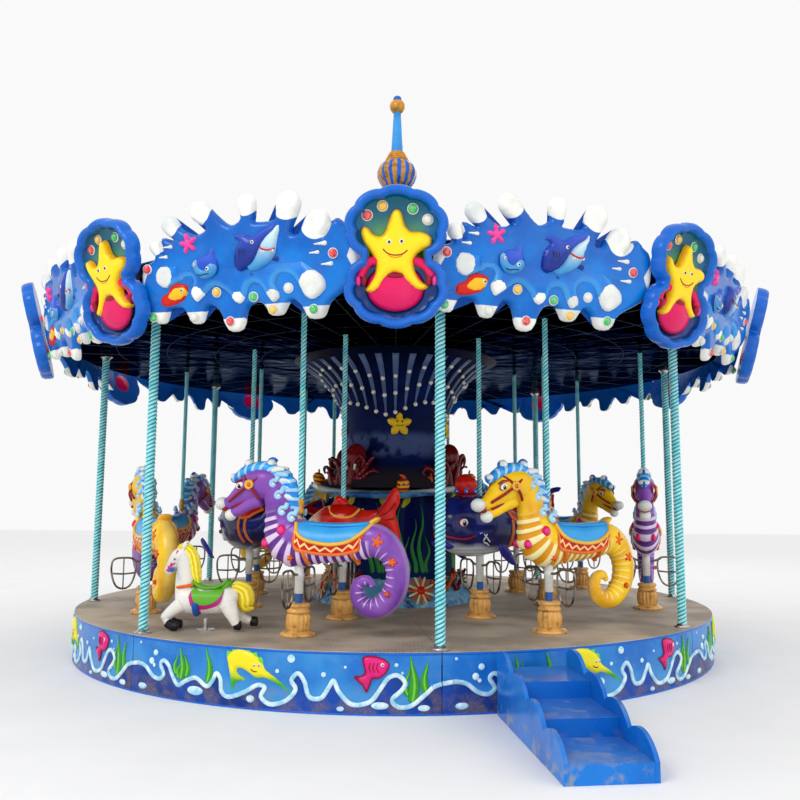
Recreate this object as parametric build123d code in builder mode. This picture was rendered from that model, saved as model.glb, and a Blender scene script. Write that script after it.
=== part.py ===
"""Sea-themed merry-go-round: eight sectors, sixteen rising riders, an overhead crank drive.

Millimetres, +Z up. The origin is on the rotation axis at ground level.
Angles are measured from the front (-Y) and grow towards +X.
"""

from build123d import *
from math import cos, radians, sin, sqrt
import os

os.makedirs("parts", exist_ok=True)

# ---- driving dimensions ----
SECTORS = 8
SEAM_ANGLE = 6.0  # first deck seam, rim pole and canopy sweep
RIDER_ANGLE = -16.5  # first rider, midway between two seams
FASCIA_UNITS = 10
DECK_R = 3000.0
DECK_Z = 400.0
DECK_PLATE = 5.0
RIM_POLE_R, RIM_POLE_AT = 37.0, 2925.0
OUTER_AT, INNER_AT = 2450.0, 1530.0  # rider circles
CEILING_Z = DECK_Z + 2400.0
CRANK_Z = DECK_Z + 2750.0
FASCIA_Z = DECK_Z + 2510.0  # middle of the shells and splash panels
FASCIA_LEAN = 14.0
PANEL_AT, SHELL_AT = 3270.0, 3400.0
THROW = 120.0  # crank radius, half of the riders' stroke
REST_DROP = 60.0  # riders rest this far below mid-stroke
STAIR_ANGLE, STAIR_SIDE = 6.5, 580.0
STAIR_START, STAIR_RUN, STAIR_WIDTH = 3012.0, 1365.0, 440.0
STEPS = 3

# ---- running gear ----
TRACK_AT, TRACK_Z = 1500.0, 305.0
DRIVE_R = 90.0
PINION_R, PINION_AT = 65.0, 260.0
MESH_GAP = 0.3
SHAFT_R = 25.0
BEARING_R = SHAFT_R + 0.05
BEARINGS_AT = (600.0, 2000.0)
MAST_R = 110.0
TUBE_R = 312.0
GUIDE_R, GUIDE_TOP = 27.0, DECK_Z + 600.0
SLEEVE_R, SLEEVE_BORE = 33.0, 28.0
SLEEVE_BOTTOM, SLEEVE_TOP = DECK_Z + 298.0, DECK_Z + 760.0
COLLAR_BOTTOM, COLLAR_TOP = DECK_Z + 880.0, DECK_Z + 977.0
ROD_R, COLLAR_R, ROPE_R = 19.0, 30.0, 26.0
POLE_TOP = DECK_Z + 2530.0
PEDESTAL_TOP = DECK_Z + 233.0
POLE_SLIP = 0.5


def save(piece, name):
    """Labels a finished piece and writes it."""
    piece.part.label = name
    export_step(piece.part, f"parts/{name}.step")


def outward(angle):
    return Vector(sin(radians(angle)), -cos(radians(angle)), 0)


def around(angle):
    return Vector(cos(radians(angle)), sin(radians(angle)), 0)


def facing_plane(angle, radius, height, lean=0.0):
    """Upright plane that looks outward, leaning out at its top."""
    out = outward(angle)
    normal = out * cos(radians(lean)) - Vector(0, 0, sin(radians(lean)))
    return Plane(origin=out * radius + Vector(0, 0, height), x_dir=around(angle), z_dir=normal)


def radial_plane(angle, height=0.0):
    """Upright plane through the axis: local x outward, local y up from a height."""
    side = outward(angle).cross(Vector(0, 0, 1))
    return Plane(origin=(0, 0, height), x_dir=outward(angle), z_dir=side)


def rider_plane(angle, radius):
    """Upright plane along a rider: local x is its heading, local y up from the deck."""
    heading = around(angle) * -1
    start = outward(angle) * radius + Vector(0, 0, DECK_Z)
    return Plane(origin=start, x_dir=heading, z_dir=heading.cross(Vector(0, 0, 1)))


def sector(inner, outer, start, end):
    """Flat ring sector between two angles."""
    with BuildSketch() as shape:
        with BuildLine():
            far = CenterArc((0, 0), outer, start - 90, end - start)
            near = CenterArc((0, 0), inner, start - 90, end - start)
            Line(far @ 0, near @ 0)
            Line(far @ 1, near @ 1)
        make_face()
    return shape.sketch


def seam(k):
    return SEAM_ANGLE + k * 360 / SECTORS


def rider_angle(k):
    return RIDER_ANGLE + k * 360 / SECTORS


def spot(angle, radius):
    return outward(angle) * radius


RIDER_SPOTS = [spot(rider_angle(k), at) for k in range(SECTORS) for at in (OUTER_AT, INNER_AT)]

# =====================================================================
# Fixed base
# =====================================================================
BEAM_REACH, BEAM_LOW, BEAM_HIGH = 2640.0, 20.0, 120.0
BASE_HUB_R = 300.0
ANCHOR_AT, ANCHOR_R = 2740.0, 9.0

with BuildPart() as ground_frame:
    with BuildSketch():
        Circle(BASE_HUB_R)
    extrude(amount=BEAM_HIGH)
    with BuildSketch(Plane.XY.offset(BEAM_LOW)):
        with PolarLocations((BASE_HUB_R + 1 + BEAM_REACH) / 2, SECTORS):
            Rectangle(BEAM_REACH - BASE_HUB_R - 1, 80)
    extrude(amount=BEAM_HIGH - BEAM_LOW)
    with BuildSketch():
        with PolarLocations(ANCHOR_AT - 100, SECTORS):
            Rectangle(280, 160)
        with PolarLocations(ANCHOR_AT, SECTORS):
            Circle(ANCHOR_R, mode=Mode.SUBTRACT)
    extrude(amount=BEAM_LOW)
save(ground_frame, "ground_frame")

RACE_MID, RACE_Z = 240.0, 150.0
with BuildPart() as slewing_ring:
    with BuildSketch(Plane.XY.offset(BEAM_HIGH)):
        Circle(RACE_MID)
        Circle(180, mode=Mode.SUBTRACT)
    extrude(amount=80)
save(slewing_ring, "slewing_ring")

CROWN_TOP = CRANK_Z - PINION_R - MESH_GAP
CROWN_THICK = 20.0
with BuildPart() as centre_mast:
    with BuildSketch(Plane.XY.offset(BEAM_HIGH)):
        Circle(MAST_R)
        Circle(MAST_R - 12, mode=Mode.SUBTRACT)
    extrude(amount=CROWN_TOP - CROWN_THICK - BEAM_HIGH)
    with BuildSketch(Plane.XY.offset(BEAM_HIGH)):
        Circle(170)
        Circle(MAST_R - 12, mode=Mode.SUBTRACT)
    extrude(amount=20)
save(centre_mast, "centre_mast")

with BuildPart() as crown_wheel:
    with BuildSketch(Plane.XY.offset(CROWN_TOP - CROWN_THICK)):
        Circle(PINION_AT + 30)
        with PolarLocations(170, 6):
            Circle(45, mode=Mode.SUBTRACT)
    extrude(amount=CROWN_THICK)
save(crown_wheel, "crown_wheel")

# Friction drive: a rubber-tyred wheel on a radial axle rolls under the deck's track.
DRIVE_ANGLE = 90.0
DRIVE_Z = TRACK_Z - MESH_GAP - DRIVE_R
DRIVE_HALF = 30.0
with BuildPart() as drive_wheel:
    with BuildSketch(facing_plane(DRIVE_ANGLE, TRACK_AT - DRIVE_HALF, DRIVE_Z)):
        Circle(DRIVE_R)
        with PolarLocations(52, 5):
            Circle(14, mode=Mode.SUBTRACT)
    extrude(amount=2 * DRIVE_HALF)
    with BuildSketch(facing_plane(DRIVE_ANGLE, TRACK_AT + DRIVE_HALF, DRIVE_Z)):
        Circle(18)
    extrude(amount=40)
save(drive_wheel, "drive_wheel")

GEARBOX_AT = TRACK_AT + DRIVE_HALF + 42
with BuildPart() as drive_motor:
    with BuildSketch(facing_plane(DRIVE_ANGLE, GEARBOX_AT, DRIVE_Z)):
        RectangleRounded(150, 130, 15)
    extrude(amount=130)
    with BuildSketch(facing_plane(DRIVE_ANGLE, GEARBOX_AT + 130, DRIVE_Z)):
        Circle(62)
    extrude(amount=240)
    with BuildSketch(Plane.XY.offset(BEAM_HIGH)):
        with Locations((GEARBOX_AT + 65, 0)):
            Rectangle(130, 190)
    extrude(amount=DRIVE_Z - 65 - BEAM_HIGH)
save(drive_motor, "drive_motor")

# Entrance steps: three chequered treads between two scalloped side boards.
stair_floor = Plane(origin=(0, 0, 0), x_dir=around(STAIR_ANGLE), z_dir=(0, 0, 1))
TREAD_RUN = STAIR_RUN / STEPS
RISER = DECK_Z / (STEPS + 1)
stair_side = Plane(
    origin=around(STAIR_ANGLE) * (STAIR_SIDE - STAIR_WIDTH / 2),
    x_dir=outward(STAIR_ANGLE),
    z_dir=outward(STAIR_ANGLE).cross(Vector(0, 0, 1)),
)
SIDEWAYS = stair_side.z_dir.dot(around(STAIR_ANGLE))
BOARD_THICK = 25.0
BOARD_TOP = DECK_Z - 20
LOBE_COUNT = 4
LOBE_RUN = STAIR_RUN / LOBE_COUNT
LOBE_DROP = (BOARD_TOP - RISER) / LOBE_COUNT

with BuildPart() as entrance_steps:
    for step in range(STEPS):
        with BuildSketch(stair_floor.offset((step + 1) * RISER - 12)):
            with Locations((STAIR_SIDE, -STAIR_START - STAIR_RUN + (step + 0.5) * TREAD_RUN)):
                Rectangle(STAIR_WIDTH, TREAD_RUN)
        extrude(amount=12)
        with BuildSketch(stair_floor.offset(step * RISER)):
            with Locations((STAIR_SIDE, -STAIR_START - STAIR_RUN + step * TREAD_RUN + 6)):
                Rectangle(STAIR_WIDTH, 12)
        extrude(amount=RISER)
save(entrance_steps, "entrance_steps")

with BuildPart() as step_side_boards:
    for start in (-BOARD_THICK - 1, STAIR_WIDTH + 1):
        with BuildSketch(stair_side.offset(start * SIDEWAYS)):
            with BuildLine():
                Polyline(
                    (STAIR_START, BOARD_TOP),
                    (STAIR_START, 0),
                    (STAIR_START + STAIR_RUN, 0),
                    (STAIR_START + STAIR_RUN, RISER),
                )
                for lobe in range(LOBE_COUNT):
                    lobe_start = (STAIR_START + lobe * LOBE_RUN, BOARD_TOP - lobe * LOBE_DROP)
                    lobe_end = (lobe_start[0] + LOBE_RUN, lobe_start[1] - LOBE_DROP)
                    RadiusArc(lobe_start, lobe_end, 240)
            make_face()
        extrude(amount=BOARD_THICK * SIDEWAYS)
save(step_side_boards, "step_side_boards")

# =====================================================================
# Turning platform
# =====================================================================
FRAME_TOP = DECK_Z - DECK_PLATE
FRAME_LOW = 315.0
FRAME_REACH = 2985.0
BEAM_HALF = 30.0

with BuildPart() as deck_frame:
    with BuildSketch(radial_plane(0)):
        with BuildLine():
            Polyline(
                (RACE_MID + MESH_GAP, RACE_Z),
                (330, RACE_Z),
                (330, FRAME_TOP),
                (TUBE_R - 15, FRAME_TOP),
                (TUBE_R - 15, 230),
                (RACE_MID + MESH_GAP, 230),
                close=True,
            )
        make_face()
    revolve(axis=Axis.Z)
    for k in range(SECTORS):
        with BuildSketch(Plane.XY.offset(FRAME_LOW)):
            with Locations(Plane(spot(seam(k), 0), x_dir=outward(seam(k)), z_dir=(0, 0, 1))):
                with Locations(((FRAME_REACH + 331) / 2, 0)):
                    Rectangle(FRAME_REACH - 331, 2 * BEAM_HALF)
        extrude(amount=FRAME_TOP - FRAME_LOW)
    for inner, outer, gap in ((FRAME_REACH - 50, FRAME_REACH, 0.7), (1960, 2010, 1.0)):
        for k in range(SECTORS):
            bay = sector(inner, outer, seam(k) + gap, seam(k + 1) - gap)
            with BuildSketch(Plane.XY.offset(FRAME_LOW)):
                add(bay)
            extrude(amount=FRAME_TOP - FRAME_LOW)
    for k in range(SECTORS):
        bay = sector(TRACK_AT - 40, TRACK_AT + 40, seam(k) + 0.02, seam(k + 1) - 0.02)
        with BuildSketch(Plane.XY.offset(TRACK_Z)):
            add(bay)
        extrude(amount=FRAME_LOW - TRACK_Z - 0.5)
save(deck_frame, "deck_frame")

with BuildPart() as deck_plates:
    for k in range(SECTORS):
        plate = sector(346, DECK_R + 2, seam(k) + 0.05, seam(k + 1) - 0.05)
        with BuildSketch(Plane.XY.offset(FRAME_TOP)):
            add(plate)
        extrude(amount=DECK_PLATE)
save(deck_plates, "deck_plates")

with BuildPart() as skirt_panels:
    for k in range(SECTORS):
        panel = sector(DECK_R - 11.5, DECK_R, seam(k) + 0.08, seam(k + 1) - 0.08)
        with BuildSketch(Plane.XY.offset(20)):
            add(panel)
        extrude(amount=FRAME_TOP - 20)
save(skirt_panels, "skirt_panels")

with BuildPart() as rim_poles:
    for k in range(SECTORS):
        foot = Plane.XY.offset(DECK_Z).shift_origin(spot(seam(k), RIM_POLE_AT) + Vector(0, 0, DECK_Z))
        with BuildSketch(foot):
            Circle(RIM_POLE_R)
        extrude(amount=CEILING_Z - 3 - DECK_Z)
        with BuildSketch(foot):
            Circle(70)
        extrude(amount=8)
        with BuildSketch(foot.offset(CEILING_Z - 3 - 8 - DECK_Z)):
            Circle(70)
        extrude(amount=8)
save(rim_poles, "rim_poles")

# Flared pedestals hold the guide tubes that the riders' sleeves slide over.
with BuildPart(mode=Mode.PRIVATE) as pedestal:
    with BuildSketch(Plane.XZ):
        with BuildLine():
            Polyline((125, 10), (125, 0), (0, 0), (0, 20), (37, 20), (37, 233), (72, 233), (78, 222))
            Line((78, 222), (68, 190))
            ThreePointArc((68, 190), (86, 130), (76, 52))
            ThreePointArc((76, 52), (108, 38), (125, 10))
        make_face()
    revolve(axis=Axis.Z)

with BuildPart() as rider_pedestals:
    for place in RIDER_SPOTS:
        with Locations(place + Vector(0, 0, DECK_Z)):
            add(pedestal.part)
save(rider_pedestals, "rider_pedestals")

with BuildPart() as guide_tubes:
    for place in RIDER_SPOTS:
        with BuildSketch(Plane.XY.offset(DECK_Z + 20)):
            with Locations(place):
                Circle(GUIDE_R)
        extrude(amount=GUIDE_TOP - DECK_Z - 20)
save(guide_tubes, "guide_tubes")

# =====================================================================
# Turning centre column
# =====================================================================
with BuildPart() as column_tube:
    with BuildSketch(Plane.XY.offset(FRAME_TOP)):
        Circle(TUBE_R)
        Circle(TUBE_R - 12, mode=Mode.SUBTRACT)
    extrude(amount=CEILING_Z - FRAME_TOP)
save(column_tube, "column_tube")

LEDGE_Z = DECK_Z + 1050.0
COLUMN_PANELS, PANEL_JOINT = 8, 0.2
with BuildPart() as column_drum:
    for k in range(COLUMN_PANELS):
        with BuildSketch(radial_plane(seam(k))):
            with BuildLine():
                Polyline((600, LEDGE_Z), (588, LEDGE_Z), (588, DECK_Z), (800, DECK_Z), (790, DECK_Z + 70))
                Polyline((790, DECK_Z + 70), (670, DECK_Z + 150), (612, DECK_Z + 330), (600, LEDGE_Z))
            make_face()
        revolve(axis=Axis.Z, revolution_arc=360 / COLUMN_PANELS - PANEL_JOINT)
save(column_drum, "column_drum")

with BuildPart() as column_ledge:
    with BuildSketch(radial_plane(0)):
        with Locations((700, LEDGE_Z + 25)):
            SlotOverall(310, 50)
        with Locations((545, LEDGE_Z + 25)):
            Rectangle(155, 50, align=(Align.MIN, Align.CENTER))
    revolve(axis=Axis.Z)
save(column_ledge, "column_ledge")

CROWN_FOOT = LEDGE_Z + 50
CROWN_WAIST = DECK_Z + 1640
with BuildPart() as column_crown:
    for k in range(COLUMN_PANELS):
        with BuildSketch(radial_plane(seam(k))):
            with BuildLine():
                outer = Spline(
                    (790, CROWN_FOOT),
                    (500, CROWN_WAIST),
                    (640, CEILING_Z - 330),
                    (1050, CEILING_Z - 4),
                )
                inner = Spline(
                    (776, CROWN_FOOT),
                    (488, CROWN_WAIST),
                    (630, CEILING_Z - 322),
                    (1030, CEILING_Z - 4),
                )
                Line(outer @ 0, inner @ 0)
                Line(outer @ 1, inner @ 1)
            make_face()
        revolve(axis=Axis.Z, revolution_arc=360 / COLUMN_PANELS - PANEL_JOINT)
save(column_crown, "column_crown")

# =====================================================================
# Canopy
# =====================================================================
SWEEP_HIGH = 70.0
FACE_RING_R = 3205.0
ROOF_EDGE, ROOF_LOW, ROOF_TOP = 3160.0, DECK_Z + 2706.0, DECK_Z + 3590.0
RIM_IN, RIM_OUT = FACE_RING_R - 105, FACE_RING_R - 52
SWEEP_BAR = ((TUBE_R + 2, 0), (RIM_IN - 1, 0), (RIM_IN - 1, SWEEP_HIGH), (TUBE_R + 2, SWEEP_HIGH))
RIM_BAR = ((RIM_IN, 0), (RIM_OUT, 0), (RIM_OUT, 280), (RIM_IN, 300))
RAFTER_BAR = ((101, 1100), (RIM_IN, 240), (RIM_IN, 300), (101, 1160))

with BuildPart() as canopy_frame:
    for k in range(SECTORS):
        for bar in (SWEEP_BAR, RIM_BAR, RAFTER_BAR):
            with BuildSketch(radial_plane(seam(k), CEILING_Z)):
                with BuildLine():
                    Polyline(*bar, close=True)
                make_face()
            extrude(amount=20, both=True)
    for inner, outer, gap in ((570, 630, 2.4), (1970, 2030, 0.8), (FACE_RING_R - 50, FACE_RING_R, 0.5)):
        for k in range(SECTORS):
            bay = sector(inner, outer, seam(k) + gap, seam(k + 1) - gap)
            with BuildSketch(Plane.XY.offset(CEILING_Z)):
                add(bay)
            extrude(amount=SWEEP_HIGH)
    with BuildSketch(Plane.XY.offset(CEILING_Z + 1090)):
        Circle(100)
    extrude(amount=ROOF_TOP - CEILING_Z - 1090)
save(canopy_frame, "canopy_frame")

with BuildPart() as ceiling_panels:
    for k in range(SECTORS):
        sheet = sector(TUBE_R + 2, FACE_RING_R, seam(k) + 0.05, seam(k + 1) - 0.05)
        with BuildSketch(Plane.XY.offset(CEILING_Z - 3)):
            add(sheet)
            with Locations(*RIDER_SPOTS):
                Circle(ROPE_R + 12, mode=Mode.SUBTRACT)
        extrude(amount=3)
save(ceiling_panels, "ceiling_panels")

with BuildPart() as crank_bearings:
    for k in range(SECTORS):
        for at in BEARINGS_AT:
            with BuildSketch(facing_plane(rider_angle(k), at - 25, CRANK_Z)):
                with BuildLine():
                    Polyline((-48, 0), (-60, CEILING_Z + SWEEP_HIGH - CRANK_Z), (60, CEILING_Z + SWEEP_HIGH - CRANK_Z), (48, 0))
                    ThreePointArc((48, 0), (0, 48), (-48, 0))
                make_face()
                Circle(BEARING_R, mode=Mode.SUBTRACT)
            extrude(amount=50)
save(crank_bearings, "crank_bearings")

ROOF_GORES, GORE_GAP = 16, 0.05
with BuildPart() as roof_skin:
    for k in range(ROOF_GORES):
        with BuildSketch(radial_plane(SEAM_ANGLE + k * 360 / ROOF_GORES)):
            with BuildLine():
                Polyline(
                    (ROOF_EDGE, ROOF_LOW),
                    (310, ROOF_TOP - 8),
                    (102, ROOF_TOP - 8),
                    (102, ROOF_TOP),
                    (312, ROOF_TOP),
                    (ROOF_EDGE, ROOF_LOW + 8),
                    close=True,
                )
            make_face()
        revolve(axis=Axis.Z, revolution_arc=360 / ROOF_GORES - GORE_GAP)
save(roof_skin, "roof_skin")

# Splash panels: rounded wave fingers on top, drips below. One is drawn flat, then placed ten times.
PANEL_HALF, PANEL_TOP, PANEL_FOOT, PANEL_THICK = 815.0, 160.0, -262.0, 60.0
FINGERS = (  # tip across, tip up, tip radius
    (-677, 207, 52),
    (-550, 343, 68),
    (-311, 414, 78),
    (42, 431, 70),
    (342, 401, 90),
    (537, 262, 92),
)
LOBES = ((-690, 70, -325), (-406, 84, -340), (-119, 120, -402), (201, 85, -322), (481, 112, -357))
with BuildPart(mode=Mode.PRIVATE) as splash:
    with BuildSketch():
        with Locations((0, PANEL_FOOT)):
            Rectangle(2 * PANEL_HALF, PANEL_TOP - PANEL_FOOT, align=(Align.CENTER, Align.MIN))
        with BuildLine():
            crest = Spline((-PANEL_HALF, 0), (-560, 220), (-93, 306), (98, 310), (400, 225), (665, 270), (PANEL_HALF, 0))
            Line(crest @ 0, crest @ 1)
        make_face()
        for across, up, radius in FINGERS:
            root = Vector(across * 0.85, up * 0.55)
            SlotCenterPoint((root + Vector(across, up)) / 2, (across, up), 2 * radius)
        for across, half, low in LOBES:
            with BuildLine():
                ThreePointArc((across - half, PANEL_FOOT), (across, low), (across + half, PANEL_FOOT))
                Line((across + half, PANEL_FOOT), (across - half, PANEL_FOOT))
            make_face()
    extrude(amount=PANEL_THICK)

with BuildPart() as splash_panels:
    for k in range(FASCIA_UNITS):
        middle = (k + 0.5) * 360 / FASCIA_UNITS
        stand = facing_plane(middle, PANEL_AT - PANEL_THICK / 2, FASCIA_Z, FASCIA_LEAN)
        with Locations(stand):
            add(splash.part)
save(splash_panels, "splash_panels")

# Shell medallions: two overlapping lobes, dished, with a five-armed star across the waist.
SHELL_THICK, SHELL_LIP = 100.0, 45.0
STAR_OUT, STAR_IN = 235.0, 105.0
with BuildPart(mode=Mode.PRIVATE) as clam:
    with BuildSketch():
        with Locations((0, 195), (0, -190)):
            Ellipse(335, 258)
    extrude(amount=SHELL_THICK)
    with BuildSketch(Plane.XY.offset(40)):
        with Locations((0, 195), (0, -190)):
            Ellipse(335 - SHELL_LIP, 258 - SHELL_LIP)
    extrude(amount=SHELL_THICK, mode=Mode.SUBTRACT)
    with BuildSketch(Plane.XY.offset(40)):
        with BuildLine():
            tips = [
                Vector(r * sin(radians(36 * i)), r * cos(radians(36 * i)))
                for i in range(10)
                for r in (STAR_OUT if i % 2 == 0 else STAR_IN,)
            ]
            Polyline(*tips, close=True)
        make_face()
    extrude(amount=75)

with BuildPart() as shell_medallions:
    for k in range(FASCIA_UNITS):
        with Locations(facing_plane(k * 360 / FASCIA_UNITS, SHELL_AT, FASCIA_Z, FASCIA_LEAN)):
            add(clam.part)
save(shell_medallions, "shell_medallions")

FINIAL_Z = DECK_Z + 4300.0
with BuildPart() as finial_base:
    with BuildSketch(radial_plane(0)):
        with BuildLine():
            Polyline((0, FINIAL_Z), (0, ROOF_TOP), (290, ROOF_TOP), (280, ROOF_TOP + 60))
            ThreePointArc((280, ROOF_TOP + 60), (150, ROOF_TOP + 190), (120, FINIAL_Z - 60))
            Polyline((120, FINIAL_Z - 60), (150, FINIAL_Z), (0, FINIAL_Z))
        make_face()
    revolve(axis=Axis.Z)
save(finial_base, "finial_base")

with BuildPart() as finial_spire:
    with BuildSketch(radial_plane(0)):
        with BuildLine():
            Polyline((0, FINIAL_Z + 1050), (0, FINIAL_Z), (120, FINIAL_Z), (120, FINIAL_Z + 50))
            ThreePointArc((120, FINIAL_Z + 50), (212, FINIAL_Z + 180), (70, FINIAL_Z + 300))
            Polyline((70, FINIAL_Z + 300), (90, FINIAL_Z + 400), (62, FINIAL_Z + 410), (40, FINIAL_Z + 860))
            ThreePointArc((40, FINIAL_Z + 860), (62, FINIAL_Z + 915), (40, FINIAL_Z + 970))
            Polyline((40, FINIAL_Z + 970), (46, FINIAL_Z + 1010), (0, FINIAL_Z + 1050))
        make_face()
    revolve(axis=Axis.Z)
save(finial_spire, "finial_spire")

# =====================================================================
# Overhead crankshafts, one for each pair of riders
# =====================================================================
WEB = 15.0
INNER_WEB, INNER_PIN, OUTER_WEB, OUTER_PIN = 1585.0, 30.0, 2380.0, 15.0
# At rest both throws hang REST_DROP below mid-stroke, one to each side of the shaft.
THROW_SIDE = sqrt(THROW**2 - REST_DROP**2)
INNER_THROW, OUTER_THROW = (-THROW_SIDE, -REST_DROP), (THROW_SIDE, -REST_DROP)


def crank_length(angle, start, length, centre, radius):
    """Round stretch of a crankshaft, along its radial axis."""
    with BuildSketch(facing_plane(angle, start, CRANK_Z)) as section:
        with Locations(centre):
            Circle(radius)
    return extrude(section.sketch, amount=length)


def crank_web(angle, start, throw):
    """Flat link from the shaft's axis to a crank pin."""
    with BuildSketch(facing_plane(angle, start, CRANK_Z)) as link:
        SlotCenterPoint((throw[0] / 2, throw[1] / 2), throw, 60)
    return extrude(link.sketch, amount=WEB)


for k in range(SECTORS):
    turn = rider_angle(k)
    pieces = [
        crank_length(turn, PINION_AT - 15, 30, (0, 0), PINION_R),
        crank_length(turn, PINION_AT + 15, INNER_WEB - PINION_AT - 15, (0, 0), SHAFT_R),
        crank_web(turn, INNER_WEB, INNER_THROW),
        crank_length(turn, INNER_WEB + WEB, INNER_PIN, INNER_THROW, 18),
        crank_web(turn, INNER_WEB + WEB + INNER_PIN, INNER_THROW),
        crank_length(
            turn,
            INNER_WEB + 2 * WEB + INNER_PIN,
            OUTER_WEB - INNER_WEB - 2 * WEB - INNER_PIN,
            (0, 0),
            SHAFT_R,
        ),
        crank_web(turn, OUTER_WEB, OUTER_THROW),
        crank_length(turn, OUTER_WEB + WEB, OUTER_PIN, OUTER_THROW, 18),
    ]
    with BuildPart() as crankshaft:
        for piece in pieces:
            add(piece)
    save(crankshaft, f"crankshaft_{k + 1}")

# =====================================================================
# Riders
# =====================================================================
# Foot bars on each side of the sleeve: distance from the pole, height, (width, thickness).
HANGER_BARS = (
    (165, 438, (272, 16)),
    (200, 330, (16, 230)),
    (200, 335, (190, 16)),
    (200, 222, (110, 16)),
)


def rider_pole(side):
    """Pole of one rider: rope tube, collar, rod, telescoping sleeve and two foot hangers."""
    foot = DECK_Z
    with BuildPart() as pole:
        with BuildSketch(side):
            with BuildLine():
                Polyline(
                    (SLEEVE_BORE, SLEEVE_BOTTOM - foot),
                    (SLEEVE_R, SLEEVE_BOTTOM - foot),
                    (SLEEVE_R, SLEEVE_TOP - foot),
                    (ROD_R, SLEEVE_TOP - foot),
                    (ROD_R, COLLAR_BOTTOM - foot),
                    (COLLAR_R, COLLAR_BOTTOM - foot),
                    (COLLAR_R, COLLAR_TOP - foot),
                    (ROPE_R, COLLAR_TOP - foot),
                    (ROPE_R, POLE_TOP - foot),
                    (0, POLE_TOP - foot),
                    (0, SLEEVE_TOP - foot - 20),
                    (SLEEVE_BORE, SLEEVE_TOP - foot - 20),
                    close=True,
                )
            make_face()
        revolve(axis=Axis(side.origin, (0, 0, 1)))
        lateral = Plane(origin=side.origin, x_dir=side.z_dir, z_dir=side.x_dir * -1)
        for reach in (1, -1):
            with BuildSketch(lateral):
                for bar, centre, size in HANGER_BARS:
                    with Locations((reach * bar, centre)):
                        Rectangle(*size)
            extrude(amount=7, both=True)
    return pole


def silhouette_body(side, outline, half_width, edge, ring=None):
    """Animal body from its side outline, rounded over, bored for the pole."""
    with BuildPart() as body:
        with BuildSketch(side):
            with BuildLine():
                Spline(*outline, periodic=True)
            make_face()
            if ring:
                with Locations(ring[0]):
                    Circle(ring[1])
                    Circle(ring[2], mode=Mode.SUBTRACT)
        extrude(amount=half_width, both=True)
        with BuildSketch(Plane.XY.offset(DECK_Z)):
            with Locations(Vector(side.origin.X, side.origin.Y, 0)):
                Circle(SLEEVE_R + POLE_SLIP)
        extrude(amount=SLEEVE_TOP + POLE_SLIP - DECK_Z, mode=Mode.SUBTRACT)
        with BuildSketch(Plane.XY.offset(DECK_Z)):
            with Locations(Vector(side.origin.X, side.origin.Y, 0)):
                Circle(ROD_R + POLE_SLIP)
        extrude(amount=COLLAR_BOTTOM - DECK_Z, mode=Mode.SUBTRACT)
    return body


SEAHORSE = (
    (40, 1050), (5, 850), (-190, 795), (-490, 815), (-740, 695), (-830, 460), (-760, 330),
    (-640, 480), (-520, 550), (-250, 505), (180, 490), (300, 670), (250, 860), (330, 930),
    (560, 870), (645, 940), (540, 1060), (450, 1240), (240, 1220),
)
SEAHORSE_TAIL = ((-610, 370), 222, 82)
WHALE = (
    (425, 640), (390, 890), (140, 1030), (-200, 960), (-420, 800), (-640, 880), (-760, 1000),
    (-700, 720), (-420, 610), (-150, 520), (180, 505),
)
FISH = (
    (300, 770), (190, 920), (-40, 960), (-260, 870), (-480, 1050), (-470, 830), (-490, 640),
    (-290, 750), (-100, 600), (150, 590),
)

for k in range(SECTORS):
    outer_side = rider_plane(rider_angle(k), OUTER_AT)
    inner_side = rider_plane(rider_angle(k), INNER_AT)
    seahorse = silhouette_body(outer_side, SEAHORSE, 115, 40, SEAHORSE_TAIL)
    save(seahorse, f"seahorse_{k + 1}")
    save(rider_pole(outer_side), f"seahorse_pole_{k + 1}")
    if k % 2 == 0:
        animal = silhouette_body(inner_side, FISH, 120, 40)
    else:
        animal = silhouette_body(inner_side, WHALE, 190, 60)
    with BuildPart() as inner_rider:
        add(animal.part)
        add(rider_pole(inner_side).part)
    save(inner_rider, f"{'fish' if k % 2 == 0 else 'whale'}_rider_{k + 1}")

# Low horse for toddlers, on its own short post near the rim, facing square to the left.
TODDLER_ANGLE, TODDLER_AT = -33.7, 2556.0
TODDLER_POST = 85.0
toddler_foot = spot(TODDLER_ANGLE, TODDLER_AT) + Vector(0, 0, DECK_Z)
toddler_side = Plane(origin=toddler_foot, x_dir=(-1, 0, 0), z_dir=(0, 1, 0))
with BuildPart() as toddler_post:
    with BuildSketch(Plane(toddler_foot)):
        Circle(70)
    extrude(amount=8)
    with BuildSketch(Plane(toddler_foot)):
        Circle(18)
    extrude(amount=TODDLER_POST)
save(toddler_post, "toddler_post")

HORSE = (
    (0, 292), (-150, 345), (-240, 320), (-300, 220), (-220, 140), (-60, 88), (130, 86),
    (215, 170), (235, 300), (225, 400), (300, 440), (285, 500), (225, 580), (150, 640),
    (75, 540), (60, 370),
)
HORSE_LEGS = (
    ((150, 180), (235, 150), (330, 70), (325, 22), (240, 22), (225, 80)),
    ((-170, 190), (-270, 230), (-380, 75), (-380, 22), (-305, 22), (-290, 85)),
)
with BuildPart() as toddler_horse:
    with BuildSketch(toddler_side):
        with BuildLine():
            Spline(*HORSE, periodic=True)
        make_face()
    extrude(amount=85, both=True)
    for leg in HORSE_LEGS:
        for face in (1, -1):
            with BuildSketch(toddler_side.offset(face * 30)):
                with BuildLine():
                    Polyline(*leg, close=True)
                make_face()
            extrude(amount=face * 55)
    with BuildSketch(toddler_side):
        with Locations((235, 455)):
            Circle(12)
    extrude(amount=135, both=True)
    with BuildSketch(Plane(toddler_foot)):
        Circle(18 + POLE_SLIP)
    extrude(amount=TODDLER_POST + POLE_SLIP, mode=Mode.SUBTRACT)
save(toddler_horse, "toddler_horse")
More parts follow.
